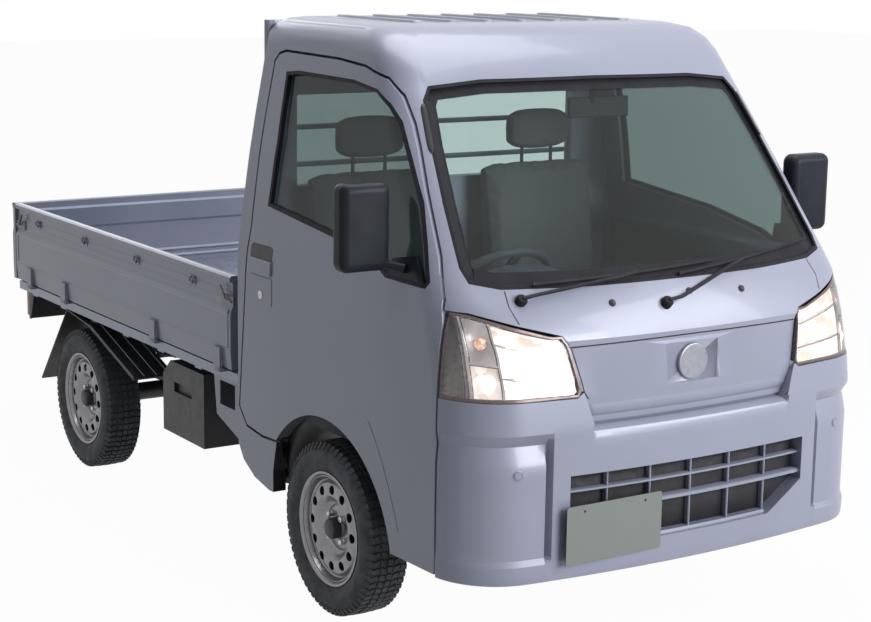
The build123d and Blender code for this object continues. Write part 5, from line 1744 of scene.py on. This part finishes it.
@dataclass
class Interior:
    """What shows of the cab's inside through its glass."""

    mirror: Outline = ((-1098, 1500), (-1086, 1500), (-1082, 1560), (-1094, 1562))
    mirror_stalk: tuple[Point, ...] = ((60, -1090, 1540), (40, -1110, 1585), (20, -1125, 1606))
    visor: Outline = ((-1085, 1640), (-1078, 1652), (-930, 1668), (-930, 1654))
    hood_x: float = -330.0
    hood_z: float = 1048.0
    lining: Outline = (
        (560, 688.5), (700, 684), (860, 676), (900, 650), (915, 650), (930, 676), (1010, 683.5), (1070, 682.5),
    )

    def build(self) -> None:
        """Make the mirror, the visors, the instrument hood and the door linings."""
        mirror = Form().prism([(-30, y, z) for y, z in self.mirror], (225, 0, 0))
        mirror.tube(self.mirror_stalk, 7.0, 10)
        place("rear_view_mirror", mirror, Finish.SEAL, bevel=4.0)
        visors = Form()
        for side in (-1, 1):
            x0, x1 = sorted((side * 110.0, side * 480.0))
            visors.prism([(x0, y, z) for y, z in self.visor], (x1 - x0, 0, 0))
        place("sun_visors", visors, Finish.HEADLINER, bevel=5.0)
        hood = Form()
        rows = []
        for t in np.linspace(0.0, math.pi, 15):
            x, rise = self.hood_x - 150.0 * math.cos(t), 62.0 * math.sin(t)
            rows.append([(x, -1262, self.hood_z + rise), (x, -1300, self.hood_z + 4.0 + rise),
                         (x, -1420, self.hood_z + 14.0 + rise * 0.4)])
        hood.grid(rows)
        place("instrument_hood", hood, Finish.DASH, thick=6.0)
        for side, name in SIDES:
            lining = Form()
            rows = []
            for z, x in self.lining:
                rows.append([(side * x, y, z) for y in (-1120, -900, -650, -410)])
            lining.grid(rows)
            place("door_lining_" + name, lining, Finish.LINING, "door_" + name, thick=1.5)


@dataclass
class View:
    """The camera, which sees the truck from the front right."""

    place: Point = (-3.409, -5.574, 2.007)
    azimuth: float = -33.06
    elevation: float = 11.10
    roll: float = 0.86
    focal: float = 1876.0
    width: float = 871.0
    sensor: float = 36.0

    def build(self) -> None:
        """Make the camera from its place, its angles in degrees and its focal length in pixels."""
        az, el, roll = (math.radians(a) for a in (self.azimuth, self.elevation, self.roll))
        look = Vector((-math.sin(az) * math.cos(el), math.cos(az) * math.cos(el), -math.sin(el)))
        right = look.cross(Vector((0, 0, 1))).normalized()
        up = right.cross(look)
        across = right * math.cos(roll) + up * math.sin(roll)
        upwards = -right * math.sin(roll) + up * math.cos(roll)
        data = bpy.data.cameras.new("camera")
        data.sensor_width, data.lens, data.clip_end = self.sensor, self.focal * self.sensor / self.width, 100.0
        obj = bpy.data.objects.new("camera", data)
        obj.matrix_world = Matrix.Translation(self.place) @ Matrix((across, upwards, -look)).transposed().to_4x4()
        bpy.context.collection.objects.link(obj)
        bpy.context.scene.camera = obj


@dataclass
class Studio:
    """Pale floor, white surroundings and soft lamps."""

    ambient: float = 0.105
    aim: Point = (0, -0.3, 0.8)
    floor_half: float = 30.0
    floor_glow: float = 0.97
    lamps: tuple[tuple[str, Point, float, float], ...] = (
        ("top", (0.1, -0.5, 5.2), 3.6, 200),
        ("front", (1.6, -8, 2.8), 3.2, 460),
        ("left", (3.4, -5.2, 3.6), 2.6, 185),
        ("back", (0.5, 6, 3.6), 3, 80),
    )

    def build(self) -> None:
        """Make the world, the floor and the lamps."""
        scene = bpy.context.scene
        scene.view_settings.view_transform = "Standard"
        world = bpy.data.worlds.new("studio")
        scene.world = world
        world.use_nodes = True
        tree = world.node_tree
        tree.nodes.clear()
        path = tree.nodes.new("ShaderNodeLightPath")
        out = tree.nodes.new("ShaderNodeOutputWorld")
        mix = tree.nodes.new("ShaderNodeMixShader")
        seen = self.seen(tree, path)
        for k, level in ((1, self.ambient), (2, 1)):
            glow = tree.nodes.new("ShaderNodeBackground")
            glow.inputs["Strength"].default_value = level
            glow.inputs["Color"].default_value = (1, 1, 1, 1)
            tree.links.new(glow.outputs[0], mix.inputs[k])
        tree.links.new(seen, mix.inputs[0])
        tree.links.new(mix.outputs[0], out.inputs[0])
        self.floor()
        for name, spot, size, power in self.lamps:
            data = bpy.data.lights.new(name, "AREA")
            data.size, data.energy = size, power
            obj = bpy.data.objects.new(name, data)
            obj.location = spot
            obj.rotation_euler = (Vector(self.aim) - Vector(spot)).to_track_quat("-Z", "Y").to_euler()
            bpy.context.collection.objects.link(obj)

    @staticmethod
    def seen(tree: bpy.types.NodeTree, path: bpy.types.Node) -> bpy.types.NodeSocket:
        """Return 1 on camera, glossy and transmission rays."""
        value = path.outputs["Is Camera Ray"]
        for name in ("Is Glossy Ray", "Is Transmission Ray"):
            most = tree.nodes.new("ShaderNodeMath")
            most.operation = "MAXIMUM"
            tree.links.new(value, most.inputs[0])
            tree.links.new(path.outputs[name], most.inputs[1])
            value = most.outputs[0]
        return value

    def floor(self) -> None:
        """Make the floor, which stays pale and keeps the truck's shadow."""
        mesh = bpy.data.meshes.new("floor")
        corners = ((-1, -1), (1, -1), (1, 1), (-1, 1))
        mesh.from_pydata([(x * self.floor_half, y * self.floor_half, 0) for x, y in corners], [], [[0, 1, 2, 3]])
        obj = bpy.data.objects.new("floor", mesh)
        bpy.context.collection.objects.link(obj)
        n = Nodes("floor")
        tree = n.tree
        path = tree.nodes.new("ShaderNodeLightPath")
        glow = n.add("Emission", Color=(1, 1, 1, 1), Strength=1.0)
        matte = n.add("BsdfDiffuse", Color=(0.5, 0.5, 0.5, 1))
        share = n.add("Math", {"operation": "MULTIPLY"}, n0=self.seen(tree, path), n1=self.floor_glow)
        mix = n.add("MixShader", n0=share.outputs[0], n1=matte.outputs[0], n2=glow.outputs[0])
        tree.links.new(mix.outputs[0], tree.nodes["Material Output"].inputs["Surface"])
        mesh.materials.append(n.material)


class Carried:
    """CAD nodes that keep their own mesh and only get a finish."""

    nodes: dict[Finish, str] = {
        Finish.GRILLE: "grille", Finish.BADGE: "front_ornament", Finish.PANE: "windscreen rear_window",
        Finish.TINTED: "door_glass_left door_glass_right", Finish.LINING: "cab_floor",
        Finish.DASH: "dashboard steering_wheel", Finish.SEAT: "seats",
        Finish.CASTING: "engine knuckle_left knuckle_right", Finish.BED: "bed_floor bed_headboard",
        Finish.CHASSIS: "frame rear_axle leaf_springs prop_shaft front_suspension fuel_tank spare_carrier"
                        " rear_bumper",
        Finish.PAINT: "guard_frame side_gate_left side_gate_right tailgate side_skirts",
        Finish.MIRROR: "mirror_left mirror_right", Finish.EXHAUST: "exhaust", Finish.TAIL: "tail_lamps",
        Finish.PLATE: "licence_plates",
        Finish.TYRE: "spare_wheel tyre_front_left tyre_front_right tyre_rear_left tyre_rear_right",
        Finish.RIM: "rim_front_left rim_front_right rim_rear_left rim_rear_right",
    }

    def build(self) -> None:
        """Give every CAD node its finish; those that are not listed are black trim."""
        finishes = {name: finish for finish, names in self.nodes.items() for name in names.split()}
        for name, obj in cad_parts.items():
            if not obj.material_slots:
                log.warning("%s has no material slot", name)
            for slot in obj.material_slots:
                slot.link = "OBJECT"
                slot.material = finishes.get(name, Finish.TRIM).get()


def main() -> None:
    """Build the truck's looks in order."""
    logging.basicConfig(level=logging.INFO, format="%(name)s %(message)s")
    for group in (View, Studio, Carried, Shell, Trim, Bumper, Wipers, Lamps, Wheel, Liners, Gates, Seats, Interior):
        group().build()


if __name__ == "__main__":
    main()
